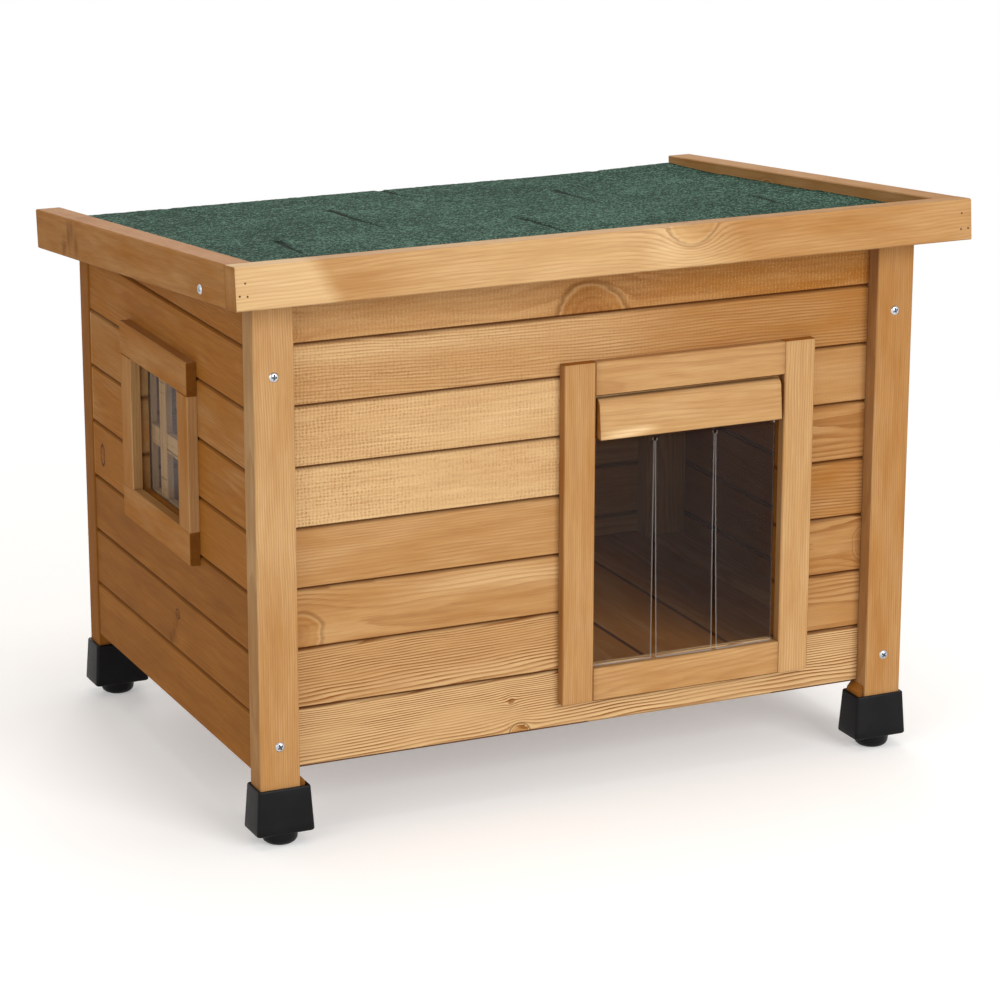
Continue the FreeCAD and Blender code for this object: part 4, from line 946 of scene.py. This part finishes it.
def screw_head(centre, outward, radius, height, turn):
    """A pan head as a height over polar rings: a flat dome that falls to the rim, less a tapered cross
    recess whose arms narrow with depth. The underside closes to a point below."""
    spin = np.linspace(0, 2 * math.pi, 49)[:-1]
    rings = np.array([0.04, 0.12, 0.2, 0.28, 0.36, 0.44, 0.52, 0.6, 0.7, 0.8, 0.9, 0.96, 1.0])
    r, a = np.meshgrid(rings, spin, indexing="ij")
    x, y = r * np.cos(a), r * np.sin(a)
    dome = (1 - r ** 3.2) * 0.78 + 0.22 * np.sqrt(np.clip(1 - r ** 6, 0, None))
    arm = np.maximum(*[np.clip((0.17 - np.abs(p)) / 0.07, 0, 1) * np.clip((0.62 - np.abs(q)) / 0.1, 0, 1)
                       for p, q in ((x, y), (y, x))])
    lift = height * (dome - 0.72 * arm)
    seat = -0.3 / radius
    rim = np.stack([np.cos(spin), np.sin(spin), np.full(len(spin), seat)], 1)
    flat = np.concatenate([np.stack([x, y, lift / radius], -1).reshape(-1, 3), rim,
                           [[0, 0, height * 0.28 / radius], [0, 0, seat]]]) * radius
    side = np.cross(Z if abs(outward[2]) < 0.9 else X, outward)
    side = side / np.linalg.norm(side)
    up = np.cross(outward, side)
    axis_a = side * math.cos(turn) + up * math.sin(turn)
    axis_b = up * math.cos(turn) - side * math.sin(turn)
    points = np.asarray(centre) + flat[:, :1] * axis_a + flat[:, 1:2] * axis_b + flat[:, 2:] * outward
    numbers = numbered(len(rings) + 1, len(spin))
    first, last, pole = numbers[0], numbers[-1], np.full(len(spin), numbers.size)
    faces = [quads(numbers, closed=True), np.stack([first, np.roll(first, -1), pole], 1),
             np.stack([np.roll(last, -1), last, pole + 1], 1)]
    # The recess field marks the cross, which the zinc finish darkens as painted shade.
    return {"points": points, "faces": faces,
            "recess": np.concatenate([arm.ravel(), np.zeros(len(spin)), [1.0, 0.0]])}


def fasteners(name, places, body, *nodes, finish="zinc_steel"):
    """Several heads of one kind as one piece."""
    put_piece(name, [screw_head(*place) for place in places], body, nodes, finish, 50)


def make_fasteners():
    """Screws in the posts and side fascias, small flat heads in the hinge leaves, and the front's nails."""
    posts = []
    for number, (x, z) in enumerate([(-POST_MIDDLE, 74.5), (-POST_MIDDLE, 342.0), (POST_MIDDLE, 74.5),
                                     (POST_MIDDLE, 342.0)]):
        posts.append(((x, FRONT_FACE, z), -Y, 3.6, 1.4, 0.5 + number))
        posts.append(((x, REAR_FACE, z), Y, 3.6, 1.4, 0.2 + 1.3 * number))
    fasteners("post_screws_heads", posts, "house", "post_screws")
    sides = [(roof_place(side * ROOF_HALF, 70, -22), side * X, 3.6, 1.4, 0.4 * side) for side in (-1, 1)]
    fasteners("fascia_screws_heads", sides, "roof", "fascia_screws")
    pin_height = 369.223
    pin_down = (196.935 - ROOF_FRONT + 20.5 * math.sin(PITCH)) / math.cos(PITCH)
    wall, roof = [], []
    for middle in (-165, 165):
        for offset in (-16, 16):
            wall.append(((middle + offset, REAR_FACE + 1.1, pin_height - 12), Y, 2.6, 0.6, offset))
            roof.append((roof_place(middle + offset, pin_down + 12, -18.1), -LIFT, 2.6, 0.6, offset))
    fasteners("hinge_wall_screws", wall, "house")
    fasteners("hinge_roof_screws", roof, "roof")
    nails = [(roof_place(x, 0, (z - ROOF_TOP) / math.cos(PITCH)), -DOWN, 0.75, 0.12, 0.3)
             for x, z in [(-277.9, 417.8), (-282.2, 409.5), (-276.7, 408.9), (276.8, 418.9), (276, 407.5),
                          (282, 407.7)]]
    fasteners("fascia_nails", nails, "roof", finish="stained_nail")


def dress_hinges():
    """The hinge leaves and pins keep their CAD shape and get the zinc finish."""
    for node in ("hinge_wall_leaf", "hinge_roof_leaf", "hinge_pin"):
        for side in ("left", "right"):
            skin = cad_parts[f"{node}_{side}"].data
            skin.materials.clear()
            skin.materials.append(FINISH["zinc_steel"])


# Studio, with lengths in metres

WHITE = (1, 1, 1, 1)


def make_floor_stage():
    """A pale disc that keeps the shadow and fades into the white room."""
    angles = np.linspace(0, 2 * math.pi, 97)[:-1]
    points = np.stack([4 * np.cos(angles), 4 * np.sin(angles), 0 * angles], 1)
    mesh = bpy.data.meshes.new("studio_floor")
    mesh.from_pydata(points.tolist(), [], numbered(1, len(angles)).tolist())
    n = new_finish("studio_floor")
    distance = n.add("VectorMath", {0: n.place()}, operation="LENGTH").outputs["Value"]
    mesh.materials.append(n.finished({
        "Base Color": (0.8, 0.8, 0.8, 1), "Roughness": 0.9, "Specular IOR Level": 0.0,
        "Alpha": n.ramp(distance, 0.42, 1.2, 1.0, 0.0), "Emission Color": WHITE,
        "Emission Strength": n.times(n.plainly_seen(), 0.32)}))
    floor = bpy.data.objects.new("studio_floor", mesh)
    bpy.context.scene.collection.objects.link(floor)


def soft_light(name, place, aim, size, power):
    """A square soft light at a place, aimed at the middle of the house at a height."""
    lamp = bpy.data.lights.new(name, "AREA")
    lamp.shape = "SQUARE"
    lamp.size = size
    lamp.energy = power
    made = bpy.data.objects.new(name, lamp)
    made.location = place
    made.rotation_euler = (Vector((0, 0, aim)) - Vector(place)).to_track_quat("-Z", "Y").to_euler()
    bpy.context.scene.collection.objects.link(made)


def make_studio():
    """White room light, a large key in front, a lamp overhead and weak ones to the left and behind."""
    scene = bpy.context.scene
    scene.view_settings.view_transform = "Standard"
    scene.world = bpy.data.worlds.new("studio_room")
    n = Nodes(scene.world)
    n.tree.nodes.clear()
    seen = n.plainly_seen()
    back = n.add("Background", {"Color": n.mixed(seen, (1.0, 0.945, 0.86, 1), WHITE),
                                "Strength": n.scaled(seen, 0.54, 0.46)})
    n.add("OutputWorld", {"Surface": back.outputs[0]})
    soft_light("key_light", (0.7, -2.8, 1.25), 0.2, 1.6, 58)
    soft_light("left_light", (-2.3, -1.2, 1.0), 0.2, 1.6, 15)
    soft_light("top_light", (0.1, 0.0, 2.4), 0.3, 1.4, 15)
    soft_light("rear_light", (0.8, 2.6, 1.4), 0.2, 1.4, 24)
    camera = bpy.data.cameras.new("camera")
    camera.lens = 126.2
    camera.sensor_width = 36
    camera.clip_end = 50
    eye = Vector((-1.0747, -2.3497, 0.9264))
    aim = Vector((-0.0035, -0.0271, 0.18525)) - eye
    view = bpy.data.objects.new("camera", camera)
    view.location = eye
    turn = aim.to_track_quat("-Z", "Y").to_matrix() @ Matrix.Rotation(math.radians(0.10), 3, "Z")
    view.rotation_euler = turn.to_euler()
    scene.collection.objects.link(view)
    scene.camera = view


make_studio()
make_floor_stage()
make_front_wall()
make_side_walls()
make_rear_wall()
make_posts()
make_packers()
make_door_frame()
make_flap_batten()
make_flaps()
make_window()
make_floor()
make_roof()
make_felt()
make_feet()
make_fasteners()
dress_hinges()
